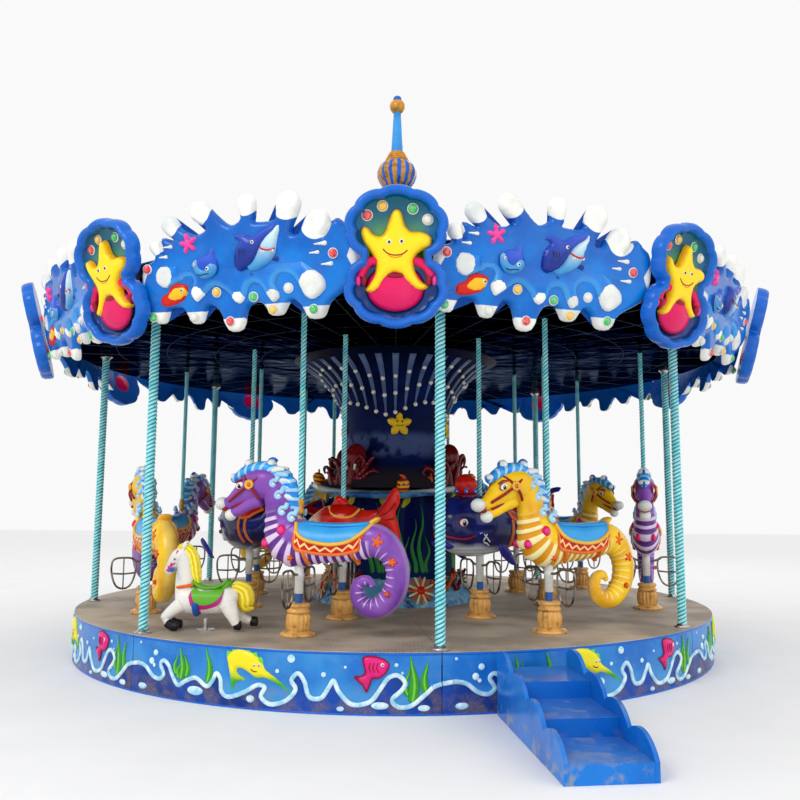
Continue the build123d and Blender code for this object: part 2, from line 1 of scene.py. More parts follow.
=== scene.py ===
"""Finished surfaces for the sea-themed merry-go-round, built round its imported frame. Metres, +Z up."""

from math import atan2, cos, hypot, pi, radians, sin, sqrt, tau

import bmesh
import bpy
from mathutils import Matrix, Vector
from mathutils.geometry import delaunay_2d_cdt


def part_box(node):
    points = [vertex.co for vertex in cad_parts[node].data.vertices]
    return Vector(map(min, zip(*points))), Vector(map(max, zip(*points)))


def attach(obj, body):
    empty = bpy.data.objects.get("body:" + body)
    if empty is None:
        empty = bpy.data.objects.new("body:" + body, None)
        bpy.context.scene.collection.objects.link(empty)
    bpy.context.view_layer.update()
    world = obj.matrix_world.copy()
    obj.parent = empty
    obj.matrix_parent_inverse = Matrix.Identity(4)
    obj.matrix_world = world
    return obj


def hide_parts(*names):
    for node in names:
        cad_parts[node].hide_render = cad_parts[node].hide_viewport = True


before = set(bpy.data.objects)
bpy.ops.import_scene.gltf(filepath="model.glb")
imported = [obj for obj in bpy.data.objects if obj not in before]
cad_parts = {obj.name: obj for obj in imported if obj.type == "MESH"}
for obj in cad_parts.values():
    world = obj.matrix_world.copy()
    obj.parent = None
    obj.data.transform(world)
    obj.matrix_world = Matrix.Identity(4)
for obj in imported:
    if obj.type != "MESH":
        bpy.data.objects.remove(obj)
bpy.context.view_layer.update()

# ---- places taken from the frame ----
SECTORS = 8
UNITS = 10
RIDER_ANGLE = -16.5
SEAM_ANGLE = 6.0
DECK_R, _, DECK_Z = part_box("deck_plates")[1]
CEILING_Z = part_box("ceiling_panels")[0][2]
FACE_MID = DECK_Z + 2.51
OUTER_AT, INNER_AT = 2.45, 1.53
PANEL_AT, SHELL_AT, FACE_LEAN = 3.24, 3.4, radians(14)
FINIAL_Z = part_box("finial_spire")[0][2]


# ---- Places on the ride ----
def outward(angle):
    """Direction away from the axis. Angles are in degrees from the front, growing towards +X."""
    return Vector((sin(radians(angle)), -cos(radians(angle)), 0))


def around(angle):
    return Vector((cos(radians(angle)), sin(radians(angle)), 0))


def axes(origin, x, y, z):
    """Matrix that puts a shape drawn on local x, y, z at a place."""
    turn = Matrix((x, y, z)).transposed().to_4x4()
    return Matrix.Translation(origin) @ turn


def facing(angle, radius, height, lean=0.0):
    """Local x runs around the ride, y up, z outward; the top leans out."""
    out = outward(angle)
    up = Vector((0, 0, cos(lean))) + out * sin(lean)
    face = out * cos(lean) - Vector((0, 0, sin(lean)))
    return axes(out * radius + Vector((0, 0, height)), around(angle), up, face)


def riding(angle, radius):
    """Local x is the rider's heading, y up from the deck, z towards the column."""
    foot = outward(angle) * radius + Vector((0, 0, DECK_Z))
    return axes(foot, -around(angle), Vector((0, 0, 1)), -outward(angle))


def standing(angle, radius, height):
    """Upright on the ride: local z up."""
    foot = outward(angle) * radius + Vector((0, 0, height))
    return axes(foot, around(angle), -outward(angle), Vector((0, 0, 1)))


# ---- Finishes ----
class Wire:
    """One output of a finish's node tree. Arithmetic on it adds Math nodes."""

    def __init__(self, paint, socket):
        self.paint, self.socket = paint, socket

    def math(self, operation, *values):
        return self.paint.node("ShaderNodeMath", {"operation": operation}, *values)

    def __add__(self, other):
        return self.math("ADD", self, other)

    def __sub__(self, other):
        return self.math("SUBTRACT", self, other)

    def __rsub__(self, other):
        return self.math("SUBTRACT", other, self)

    def __mul__(self, other):
        return self.math("MULTIPLY", self, other)

    def __truediv__(self, other):
        return self.math("DIVIDE", self, other)

    def __pow__(self, other):
        return self.math("POWER", self, other)

    __radd__, __rmul__ = __add__, __mul__

    def wave(self):
        return self.math("SINE", self)

    def size(self):
        return self.math("ABSOLUTE", self)

    def part(self):
        return self.math("FRACT", self)

    def either(self, other):
        return self.math("MAXIMUM", self, other)

    def both(self, other):
        return self.math("MINIMUM", self, other)

    def between(self, low, high):
        """0 below low, 1 above high, smooth between; low may be the larger."""
        steps = {"interpolation_type": "SMOOTHSTEP", "clamp": True}
        if low > high:
            return 1 - self.between(high, low)
        return self.paint.node("ShaderNodeMapRange", steps, self, low, high)


class Paint:
    """A finish: one Principled surface, and the nodes that vary it."""

    def __init__(self, name, coat=(0.0, 0.03), **fixed):
        """coat is the clear coat's weight and roughness; fixed are other constant sockets."""
        self.material = bpy.data.materials.new(name)
        self.material.use_nodes = True
        self.tree = self.material.node_tree
        self.skin = self.tree.nodes["Principled BSDF"]
        fixed = {"Specular_IOR_Level": 0.22, "Coat_Weight": coat[0], "Coat_Roughness": coat[1], **fixed}
        for socket, value in fixed.items():
            self.skin.inputs[socket.replace("_", " ")].default_value = value
        self.spot = self.node("ShaderNodeTexCoord", {}, output="Object")
        self.x, self.y, self.z = self.split(self.spot)

    def node(self, kind, settings, *values, output=None, **named):
        """Adds a node, applies its settings, then fills its inputs in order or by name."""
        node = self.tree.nodes.new(kind)
        for key, value in settings.items():
            setattr(node, key, value)
        open_inputs = [i for i in node.inputs if i.enabled]
        pairs = list(zip(open_inputs, values))
        pairs += [(self.input(node, key), value) for key, value in named.items()]
        for socket, value in pairs:
            if isinstance(value, Wire):
                self.tree.links.new(value.socket, socket)
            else:
                socket.default_value = value
        shown = [o for o in node.outputs if o.enabled]
        return Wire(self, node.outputs[output] if output else shown[0])

    def input(self, node, key):
        name = key.replace("_", " ")
        return next(i for i in node.inputs if i.enabled and i.name == name)

    def split(self, vector):
        node = self.tree.nodes.new("ShaderNodeSeparateXYZ")
        self.tree.links.new(vector.socket, node.inputs[0])
        return [Wire(self, o) for o in node.outputs]

    def turn(self):
        """Angle round the ride's axis."""
        return self.node("ShaderNodeMath", {"operation": "ARCTAN2"}, self.y, self.x)

    def reach(self):
        """Distance from the ride's axis."""
        return (self.x * self.x + self.y * self.y) ** 0.5

    def joined(self, x, y, z=0.0):
        return self.node("ShaderNodeCombineXYZ", {}, x, y, z)

    def noise(self, scale, detail=3.0, vector=None):
        return self.node("ShaderNodeTexNoise", {}, Vector=vector or self.spot, Scale=scale, Detail=detail)

    def cells(self, scale, vector=None):
        return self.node("ShaderNodeTexVoronoi", {}, Vector=vector or self.spot, Scale=scale)

    def carried(self, name):
        """A value laid on the mesh by its maker, as three numbers."""
        return self.split(self.node("ShaderNodeAttribute", {"attribute_name": name}, output="Vector"))

    def mix(self, share, low, high):
        return self.node("ShaderNodeMix", {"data_type": "RGBA"}, share, linear(low), linear(high))

    def wear(self, colour, dirt, amount=0.5, scale=6.0):
        """Lets thin dirt and sun-bleached patches show through a colour."""
        patch = self.noise(scale, 6.0).between(0.48, 0.72)
        fine = self.noise(scale * 9, 4.0).between(0.35, 0.75)
        return self.mix(patch * fine * amount, colour, dirt)

    def set(self, colour=None, roughness=None, height=None, strength=0.3, depth=0.002, **others):
        """Connects what varies to the surface and returns the material."""
        links = {"Base Color": colour, "Roughness": roughness}
        links.update({key.replace("_", " "): value for key, value in others.items()})
        if height is not None:
            links["Normal"] = self.node(
                "ShaderNodeBump", {}, Strength=strength, Distance=depth, Height=height, output="Normal"
            )
        for name, value in links.items():
            if isinstance(value, Wire):
                self.tree.links.new(value.socket, self.skin.inputs[name])
            elif value is not None:
                self.skin.inputs[name].default_value = value
        return self.material


def tone(red, green, blue):
    """Linear colour from screen values 0 to 255."""
    return tuple(
        ((c / 255 + 0.055) / 1.055) ** 2.4 if c > 10 else c / 3295 for c in (red, green, blue)
    ) + (1.0,)


def linear(colour):
    """Three screen values become a linear colour; anything else is passed on."""
    return tone(*colour) if isinstance(colour, tuple) and len(colour) == 3 else colour


def gelcoat(name, colour, shade, rough=0.28):
    """Painted resin moulding: glossy, slightly uneven, with a little grime."""
    p = Paint(name, coat=(0.11, 0.12))
    cloudy = p.noise(3.5, 5.0)
    paint = p.mix(cloudy.between(0.35, 0.7), shade, colour)
    paint = p.mix(0.55, paint, colour)
    worn = p.wear(paint, (96, 88, 74), 0.35)
    scuffs = p.noise(42.0, 4.0)
    return p.set(worn, scuffs * 0.22 + (rough - 0.08), p.noise(26.0, 3.0), 0.15, 0.003)


# ---- Shaping ----
def smooth(stations, steps):
    """Points along a Catmull-Rom curve through stations of any number of values."""
    found = []
    last = len(stations) - 1
    for i in range(last):
        a, b, c, d = (stations[min(max(i + j, 0), last)] for j in (-1, 0, 1, 2))
        for step in range(steps):
            t = step / steps
            found.append(
                tuple(
                    q + 0.5 * t * (r - p + t * (2 * p - 5 * q + 4 * r - s + t * (3 * (q - r) + s - p)))
                    for p, q, r, s in zip(a, b, c, d)
                )
            )
    found.append(tuple(stations[last]))
    return found


class Build:
    """Gathers shaped forms, each with its own finish, into one piece."""

    def __init__(self):
        self.mesh = bmesh.new()
        self.laid = self.mesh.verts.layers.float_vector.new("laid")
        self.finishes = []

    def finish(self, material):
        if material not in self.finishes:
            self.finishes.append(material)
        return self.finishes.index(material)

    def skin(self, rings, material, around=True, ends=True, laid=None, place=None):
        """Joins rings of points with faces. laid(i, j) gives values that the finish can read."""
        place = place or Matrix.Identity(4)
        slot = self.finish(material)
        rows = []
        for i, ring in enumerate(rings):
            row = []
            for j, point in enumerate(ring):
                vert = self.mesh.verts.new(place @ Vector(point))
                if laid:
                    vert[self.laid] = laid(i, j)
                row.append(vert)
            rows.append(row)
        count = len(rows[0])
        for low, high in zip(rows, rows[1:]):
            for j in range(count if around else count - 1):
                k = (j + 1) % count
                self.face((low[j], low[k], high[k], high[j]), slot)
        if ends and around:
            self.face(tuple(reversed(rows[0])), slot)
            self.face(tuple(rows[-1]), slot)
        return rows

    def face(self, verts, slot):
        made = self.mesh.faces.new(verts)
        made.material_index = slot
        made.smooth = True
        return made

    def lathe(self, profile, material, place=None, count=32, swell=None, ends=True):
        """Turns (radius, height) points about local z. swell(angle, i) scales the radius."""
        rings = []
        for i, (radius, height) in enumerate(profile):
            ring = []
            for j in range(count):
                angle = tau * j / count
                r = max(radius, 1e-5) * (swell(angle, i) if swell else 1)
                ring.append((r * cos(angle), r * sin(angle), height))
            rings.append(ring)
        return self.skin(rings, material, ends=ends, place=place)

    def ball(self, centre, radii, material, place=None, count=16, rings=9):
        """Rounded ball or egg with its long way along local z."""
        place = place or Matrix.Identity(4)
        spots = [pi * (i + 0.02) / (rings + 0.04) for i in range(rings + 1)]
        profile = [(sin(t), -cos(t)) for t in spots]
        local = place @ Matrix.Translation(Vector(centre)) @ Matrix.Diagonal((*radii, 1))
        self.lathe(profile, material, local, count)

    def limb(self, stations, material, place=None, count=16, steps=5, groove=None, lift=0.0):
        """Rounded form along a curve on local xy. Stations are (x, y, half width, half depth).

        groove(s, angle) scales a ring; angle 0 is the curve's left side.
        """
        spine = smooth(stations, steps)
        length = [0.0]
        for a, b in zip(spine, spine[1:]):
            length.append(length[-1] + hypot(b[0] - a[0], b[1] - a[1]))
        rings = []
        for i, (x, y, width, depth) in enumerate(spine):
            a, b = spine[max(i - 1, 0)], spine[min(i + 1, len(spine) - 1)]
            run = Vector((b[0] - a[0], b[1] - a[1])).normalized()
            side = Vector((-run.y, run.x))
            ring = []
            for j in range(count):
                angle = tau * j / count
                grow = groove(length[i], angle) if groove else 1
                across, out = width * cos(angle) * grow, depth * sin(angle) * grow
                ring.append((x + side.x * across, y + side.y * across, out + lift))
            rings.append(ring)
        self.skin(
            rings,
            material,
            laid=lambda i, j: (length[i], cos(tau * j / count), sin(tau * j / count)),
            place=place,
        )

    def tube(self, points, radius, material, place=None, count=8, closed=False, steps=4):
        """Round rod through points in space."""
        if closed:
            line = smooth(points[-1:] + points + points[:2], steps)[steps:-steps - 1]
        else:
            line = smooth(points, steps)
        line = [Vector(p) for p in line]
        number = len(line)
        rings, normal = [], None
        for i, point in enumerate(line):
            ahead = line[(i + 1) % number] if closed else line[min(i + 1, number - 1)]
            behind = line[i - 1] if closed or i else line[0]
            run = (ahead - behind).normalized()
            if normal is None:
                normal = run.orthogonal().normalized()
            normal = (normal - run * normal.dot(run)).normalized()
            other = run.cross(normal)
            ring = [
                point + (normal * cos(tau * j / count) + other * sin(tau * j / count)) * radius
                for j in range(count)
            ]
            rings.append(ring)
        if closed:
            rings.append(rings[0])
        self.skin(rings, material, ends=not closed, place=place)

    def done(self, name, body, slot, *nodes, place=None):
        """Makes the piece, lets it ride on its body and stand for its CAD nodes."""
        bmesh.ops.recalc_face_normals(self.mesh, faces=self.mesh.faces)
        data = bpy.data.meshes.new(name)
        self.mesh.to_mesh(data)
        self.mesh.free()
        for material in self.finishes:
            data.materials.append(material)
        return show(name, data, body, slot, *nodes, place=place)


def show(name, data, body, slot, *nodes, place=None):
    """Places one object with a finished mesh on a body."""
    piece = bpy.data.objects.new(name, data)
    bpy.context.scene.collection.objects.link(piece)
    piece.matrix_world = place or Matrix.Identity(4)
    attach(piece, body)
    if nodes:
        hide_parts(*nodes)
    return piece


def flipped(side):
    """Turns local z over when side is -1."""
    return Matrix.Diagonal((1, 1, side, 1))


def closed(points, steps=6):
    """Smooth closed outline through the points."""
    points = list(points)
    return smooth(points[-1:] + points + points[:2], steps)[steps:-steps - 1]


def reach_in(x, y, outline):
    """Distance from a point to an outline."""
    best = 9.0
    for (ax, ay), (bx, by) in zip(outline, outline[1:] + outline[:1]):
        dx, dy = bx - ax, by - ay
        t = ((x - ax) * dx + (y - ay) * dy) / (dx * dx + dy * dy + 1e-12)
        t = min(max(t, 0.0), 1.0)
        best = min(best, (x - ax - t * dx) ** 2 + (y - ay - t * dy) ** 2)
    return sqrt(best)


def puff(
    build, outline, height, edge, material, grid=0.012, base=0.0, wall=0.0, rise=None, laid=None, place=None
):
    """Cushioned relief on any outline: it rounds over within edge of the outline.

    rise(x, y) adds height, laid(x, y) gives values for the finish.
    """
    place = place or Matrix.Identity(4)
    slot = build.finish(material)
    rim = [Vector(p) for p in outline]
    left, right = min(p.x for p in rim), max(p.x for p in rim)
    low, high = min(p.y for p in rim), max(p.y for p in rim)
    spots = list(rim)
    row = 0
    y = low + grid / 2
    while y < high:
        x = left + grid * (0.25 if row % 2 else 0.75)
        while x < right:
            if crossings(x, y, outline) and reach_in(x, y, outline) > grid * 0.45:
                spots.append(Vector((x, y)))
            x += grid
        y += grid * 0.87
        row += 1
    count = len(rim)
    ring = [(i, (i + 1) % count) for i in range(count)]
    cut = delaunay_2d_cdt(spots, ring, [list(range(count))], 1, 1e-7)
    flat, faces = cut[0], cut[2]
    made = []
    for point in flat:
        depth = reach_in(point.x, point.y, outline)
        share = min(depth / edge, 1.0)
        up = base + wall + height * sqrt(max(1 - (1 - share) ** 2, 0.0))
        up += rise(point.x, point.y) * min(depth / 0.01, 1.0) if rise else 0
        vert = build.mesh.verts.new(place @ Vector((point.x, point.y, up)))
        if laid:
            vert[build.laid] = laid(point.x, point.y)
        made.append(vert)
    for corners in faces:
        build.face([made[i] for i in corners], slot)
    if wall:
        order = [made[i] for i in range(count)]
        foot = [build.mesh.verts.new(place @ Vector((p.x, p.y, base))) for p in flat[:count]]
        for vert, source in zip(foot, order):
            vert[build.laid] = source[build.laid]
        for i in range(count):
            j = (i + 1) % count
            build.face([foot[i], foot[j], order[j], order[i]], slot)


def crossings(x, y, outline):
    """Whether a point is inside an outline."""
    inside = False
    for (ax, ay), (bx, by) in zip(outline, outline[1:] + outline[:1]):
        if (ay > y) != (by > y) and x < (bx - ax) * (y - ay) / (by - ay) + ax:
            inside = not inside
    return inside


def mm(points):
    return [tuple(v / 1000 for v in p) for p in points]


def knoll(x, y, across, up, wide, high):
    """1 at a centre, falling smoothly to 0 at an oval's edge."""
    d = ((x - across) / wide) ** 2 + ((y - up) / high) ** 2
    return max(1 - d, 0.0)


def star_outline(tip, waist, turn=0.0):
    """Rounded star on local xy, its first arm up."""
    found = []
    for i in range(20):
        phase = i % 4
        r = (tip, (tip + waist) / 2, waist, (tip + waist) / 2)[phase]
        swing = (0, 0.42, 0, -0.42)[phase] * pi / 5
        angle = pi / 2 + turn + tau * i / 20 + swing * 0.35
        found.append((r * cos(angle), r * sin(angle)))
    return closed(found, 4)


def starfish(build, centre, size, material, turn=0.0, height=None, place=None):
    place = (place or Matrix.Identity(4)) @ Matrix.Translation(Vector(centre))
    outline = star_outline(size, size * 0.42, turn=turn)
    puff(build, outline, height or size * 0.3, size * 0.3, material, size / 7, place=place)


def gem(build, x, y, z, radius, material):
    """Cut plastic lamp cover in a low collar."""
    at = Matrix.Translation((x, y, z))
    collar = [
        (radius * 1.12, 0), (radius * 1.14, radius * 0.16), (radius * 1.0, radius * 0.26),
        (radius * 0.9, radius * 0.2)
    ]
    build.lathe(collar, white_resin, at, 18, ends=False)
    facets = [
        (radius * 0.98, 0.0), (radius, radius * 0.25), (radius * 0.8, radius * 0.6),
        (radius * 0.42, radius * 0.8), (0.0, radius * 0.86)
    ]
    build.lathe(facets, material, at, 10)


# ---- Finishes of the ride ----
AZURE, GOLD, DUST = tone(14, 104, 205), tone(214, 148, 52), tone(128, 116, 98)


def painted_steel(name, colour, rust=0.25):
    p = Paint(name, coat=(0.033, 0.03))
    stain = p.noise(9.0, 6.0).between(0.5, 0.74) * rust
    return p.set(p.mix(stain, colour, (105, 66, 38)), p.noise(30.0) * 0.3 + 0.32, p.noise(120.0), 0.12, 0.001)


def bright_steel(name, bright=tone(206, 208, 208), dull_tone=tone(140, 142, 140)):
    """Worn stainless rod: fine marks along it and a little tarnish."""
    p = Paint(name, Metallic=1.0)
    drawn = p.noise(1.0, 3.0, p.joined(p.x * 300, p.y * 300, p.z * 18))
    dull = p.noise(14.0, 4.0).between(0.4, 0.7)
    return p.set(p.mix(dull, bright, dull_tone), drawn * 0.2 + 0.2, drawn, 0.15, 0.0005)


def gold_paint(name, colour=GOLD):
    p = Paint(name, coat=(0.13, 0.15), Metallic=0.15)
    rubbed = p.noise(22.0, 5.0).between(0.46, 0.72)
    colour = linear(colour)
    shade = tuple(c * 0.5 for c in colour[:3]) + (1.0,)
    worn = p.mix(rubbed, colour, shade)
    return p.set(p.wear(worn, DUST, 0.5, 12.0), rubbed * 0.2 + 0.24, p.noise(60.0, 4.0), 0.2, 0.001)


def chequer_plate():
    """Dusty tread plate: raised bars lie two ways and are lighter than the plate."""
    p = Paint("chequer_plate", Metallic=0.25)
    along, across = p.x * 0.7071 + p.y * 0.7071, p.x * 0.7071 - p.y * 0.7071
    pitch = 0.036

    def bars(u, v, shift):
        """Raised lens shapes on a square pitch."""
        a = ((u / pitch + shift).part() - 0.5).size() * 2
        b = ((v / pitch + shift).part() - 0.5).size() * 2
        return (1 - (a * a * 1.3 + b * b * 12)).between(0.0, 0.35)

    tread = bars(along, across, 0.0).either(bars(across, along, 0.5))
    dirt = p.noise(2.2, 7.0).between(0.36, 0.66)
    grit = p.noise(85.0, 3.0)
    base = p.mix(dirt, (196, 180, 160), (150, 136, 120))
    base = p.mix(grit.between(0.52, 0.7) * 0.5, base, (212, 200, 182))
    base = p.mix(tread * 0.35, base, (206, 196, 180))
    return p.set(base, grit * 0.25 + 0.48, tread * 1.0 + grit * 0.15, 0.55, 0.003)


def ceiling_mirror():
    """Polished panels under the canopy: each has its own tilt, and a film of dust. Their dark blue-grey tint
    is a painted reflection of the shaded roof interior.
    """
    # the dark specular tint is part of the painted reflection of the shaded interior
    p = Paint("ceiling_mirror", Metallic=1.0, Specular_Tint=tone(84, 96, 116))
    reach = p.reach()
    turn = p.turn()
    rib = ((turn * (40 / tau)).part() - 0.5).size()
    hoop = ((reach / 0.46).part() - 0.5).size()
    joint = rib.between(0.47, 0.49).either(hoop.between(0.485, 0.495))
    warped = p.noise(1.7, 2.0) + p.noise(7.0, 2.0) * 0.35
    # dark blue-grey tint: painted reflection of the shaded interior
    tint = p.mix(p.noise(2.6, 5.0).between(0.35, 0.65), (40, 52, 66), (14, 22, 36))
    tint = p.mix(joint * 0.6, tint, (150, 156, 156))
    return p.set(tint, joint * 0.3 + p.noise(12.0, 4.0) * 0.12 + 0.02, warped * 1.0 + joint * 0.4, 0.5, 0.03)


ROPE_STRANDS, ROPE_LAY = 3, 0.03


def rope_pole():
    """Twisted pole: bright strands, with painted shade in the dark teal grooves between them."""
    p = Paint("rope_pole", coat=(0.084, 0.03))
    turn = p.turn()
    crest = (turn * ROPE_STRANDS - p.z * (tau / ROPE_LAY) + pi / 2).wave() * 0.5 + 0.5
    worn = p.noise(16.0, 5.0).between(0.4, 0.7)
    strand = p.mix(worn, (160, 236, 238), (110, 212, 220))
    # dark teal between the strands: painted shade in the grooves
    colour = p.mix(crest.between(0.0, 0.5), (30, 104, 122), strand)
    return p.set(colour, worn * 0.2 + 0.3, p.noise(150.0, 3.0), 0.2, 0.001)


def skirt_blue():
    """Deck edge panels: clouded sky blue, scuffed near the ground."""
    p = Paint("skirt_blue", coat=(0.1, 0.2))
    cloudy = p.noise(3.0, 5.0).between(0.35, 0.7)
    high = p.mix(cloudy, (24, 108, 196), (52, 142, 214))
    high = p.mix(p.z.between(0.24, 0.1) * 0.5, high, (84, 170, 226))
    dirt = p.noise(11.0, 7.0).between(0.45, 0.75) * p.z.between(0.24, 0.02)
    colour = p.mix(dirt * 0.6, high, (140, 128, 104))
    return p.set(p.wear(colour, DUST, 0.3), cloudy * 0.12 + 0.24, p.noise(30.0, 4.0), 0.15, 0.003)


def step_blue():
    """Bright blue painted fibreglass steps, trodden dusty on top and muddy at the foot."""
    p = Paint("step_blue", coat=(0.084, 0.2))
    up = p.split(p.node("ShaderNodeNewGeometry", {}, output="Normal"))[2]
    patch = p.noise(5.0, 7.0).between(0.5, 0.72)
    trodden = up.between(0.6, 0.95) * (patch * 0.55 + 0.1)
    base = p.mix(p.noise(2.0, 4.0).between(0.3, 0.7), (8, 98, 192), (24, 124, 214))
    splash = p.noise(12.0, 7.0).between(0.5, 0.64) * p.z.between(0.16, 0.02)
    colour = p.mix(trodden.either(splash * 0.7), base, (150, 152, 150))
    return p.set(colour, patch * 0.2 + 0.22, p.noise(45.0, 5.0), 0.2, 0.002)


def roof_sheet():
    """Weathered blue roof covering with stitched radial seams."""
    p = Paint("roof_sheet", Sheen_Weight=0.15)
    turn = p.turn()
    seam = ((turn * (16 / tau)).part() - 0.5).size().between(0.485, 0.5)
    weave = (p.x * 900).wave() * 0.5 + (p.y * 900).wave() * 0.5
    sun = p.noise(1.4, 6.0).between(0.35, 0.68)
    colour = p.mix(sun, (30, 92, 170), (64, 132, 198))
    colour = p.mix(seam * 0.6, colour, (18, 58, 120))
    return p.set(p.wear(colour, DUST, 0.5, 3.0), sun * 0.2 + 0.5, weave * 0.3 + seam * 2, 0.3, 0.003)


def tyre_rubber():
    p = Paint("tyre_rubber")
    scuff = p.noise(40.0, 5.0)
    return p.set(
        p.mix(scuff.between(0.4, 0.7), (24, 24, 25), (62, 60, 56)), scuff * 0.2 + 0.65, scuff, 0.3, 0.001
    )


steel_grey = painted_steel("steel_grey", (92, 100, 106))
machine_grey = painted_steel("machine_grey", (138, 142, 142), 0.15)
motor_green = painted_steel("motor_green", (38, 88, 70), 0.1)
bright_rod = bright_steel("bright_rod")
# darker tones than the rod's steel: painted shade on the foot loops under the riders
shaded_loop_steel = bright_steel("shaded_loop_steel", (150, 140, 128), (72, 62, 54))
gold = gold_paint("gold")
pedestal_gold = gold_paint("pedestal_gold", (232, 176, 98))
white_resin = gelcoat("white_resin", (238, 238, 230), (206, 212, 210))
guide_blue = gelcoat("guide_blue", (30, 96, 172), (22, 76, 138))
rope_finish = rope_pole()

NODE_FINISHES = {
    "ground_frame": steel_grey,
    "slewing_ring": machine_grey,
    "centre_mast": steel_grey,
    "crown_wheel": machine_grey,
    "drive_motor": motor_green,
    "drive_wheel": tyre_rubber(),
    "deck_frame": steel_grey,
    "deck_plates": chequer_plate(),
    "skirt_panels": skirt_blue(),
    "entrance_steps": step_blue(),
    "canopy_frame": steel_grey,
    "ceiling_panels": ceiling_mirror(),
    "crank_bearings": machine_grey,
    "roof_skin": roof_sheet(),
    "column_tube": steel_grey,
    "guide_tubes": guide_blue,
    "toddler_post": bright_rod,
}
NODE_FINISHES["step_side_boards"] = NODE_FINISHES["entrance_steps"]
for k in range(SECTORS):
    NODE_FINISHES[f"crankshaft_{k + 1}"] = machine_grey


def finish_node(name, material):
    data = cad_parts[name].data
    data.materials.clear()
    data.materials.append(material)
    for face in data.polygons:
        face.material_index = 0


for name, material in NODE_FINISHES.items():
    finish_node(name, material)


# ---- Canopy: shells, splash panels, finial ----
def lamp_cover(name, colour):
    """Clear tinted plastic with a bright core."""
    p = Paint(name, coat=(1, 0.03), IOR=1.5)
    core = p.noise(60.0, 2.0).between(0.35, 0.7)
    colour = linear(colour)
    pale = tuple(0.55 * c + 0.4 for c in colour[:3]) + (1.0,)
    return p.set(p.mix(core * 0.5, colour, pale), p.noise(90.0) * 0.08 + 0.06)


GEM_RED, GEM_AMBER = lamp_cover("gem_red", (225, 12, 14)), lamp_cover("gem_amber", (240, 185, 20))
GEM_GREEN, GEM_CLEAR = lamp_cover("gem_green", (10, 185, 80)), lamp_cover("gem_clear", (225, 222, 210))
azure_resin = gelcoat("azure_resin", AZURE, (8, 84, 180), rough=0.22)
yellow_resin = gelcoat("yellow_resin", (250, 208, 24), (238, 176, 14))
magenta_resin = gelcoat("magenta_resin", (228, 6, 96), (200, 4, 80), rough=0.2)
crimson_resin = gelcoat("crimson_resin", (150, 10, 44), (104, 4, 30))
black_resin = gelcoat("black_resin", (10, 10, 14), (34, 30, 40))
red_resin = gelcoat("red_resin", (214, 26, 16), (168, 14, 10))
orange_resin = gelcoat("orange_resin", (238, 112, 18), (206, 76, 8))
pink_resin = gelcoat("pink_resin", (240, 70, 160), (206, 20, 120))


def shell_paint():
    """Inside of a shell: deep teal above, green round the star, pearly lilac below."""
    p = Paint("shell_inside", coat=(0.2, 0.08))
    cloudy = p.noise(5.0, 5.0) * 0.16 - 0.08
    up = p.y + cloudy
    upper = p.mix(up.between(0.02, 0.3), (120, 190, 60), (0, 92, 118))
    upper = p.mix((p.x.size() + cloudy).between(0.12, 0.26), upper, (6, 96, 150))
    lower = p.mix(p.noise(8.0, 4.0).between(0.4, 0.66), (92, 138, 214), (206, 212, 240))
    lower = p.mix((p.y + p.noise(9.0) * 0.1).between(-0.3, -0.36), (20, 60, 130), lower)
    colour = p.mix(up.between(-0.08, 0.04), lower, upper)
    return p.set(colour, cloudy + 0.22, p.noise(18.0, 4.0), 0.3, 0.004)


def star_paint():
    """Smiling star: yellow with orange, freckled edges."""
    p = Paint("star_yellow", coat=(0.17, 0.1))
    edge = p.carried("laid")[0]
    cloudy = p.noise(14.0, 5.0)
    warm = (edge + cloudy * 0.5).between(0.62, 0.2)
    freckles = p.cells(34.0).between(0.13, 0.07) * p.noise(9.0).between(0.45, 0.6)
    colour = p.mix(warm * 0.75, (252, 216, 20), (236, 142, 10))
    colour = p.mix(freckles * 0.7, colour, (170, 98, 10))
    return p.set(colour, cloudy * 0.15 + 0.18, p.noise(40.0, 4.0), 0.15, 0.002)


shell_inside, star_yellow = shell_paint(), star_paint()
SCALLOPS = 7


def shell_ring(inset, height):
    """Figure-eight of scalloped lobes, drawn in from its edge."""
    ring = []
    for centre, wide, high, start in ((0.185, 0.331, 0.263, -45), (-0.19, 0.336, 0.26, 135)):
        steps = SCALLOPS * 8
        for i in range(steps + 1):
            turn = radians(start + 270 * i / steps)
            swell = 0.945 + 0.055 * abs(sin(pi * SCALLOPS * i / steps)) ** 0.7
            ring.append((
                (wide * swell - inset) * cos(turn), centre + (high * swell - inset) * sin(turn), height,
            ))
    return ring


STAR = mm((
    (0, 296), (30, 275), (46, 222), (62, 185), (92, 160), (150, 158), (205, 138), (224, 104), (210, 62),
    (160, 38), (124, 5), (112, -50), (130, -110), (165, -155), (204, -182), (180, -206), (126, -206),
    (70, -165), (32, -118), (0, -105), (-35, -112), (-75, -150), (-108, -203), (-150, -228), (-194, -212),
    (-176, -176), (-146, -130), (-130, -80), (-132, -30), (-160, 20), (-205, 90), (-224, 150), (-206, 186),
    (-172, 172), (-146, 140), (-100, 130), (-70, 160), (-50, 220), (-28, 275),
))
FACE_SMILE = mm(((-84, 46), (-60, 22), (-25, 10), (15, 10), (48, 22), (69, 41)))


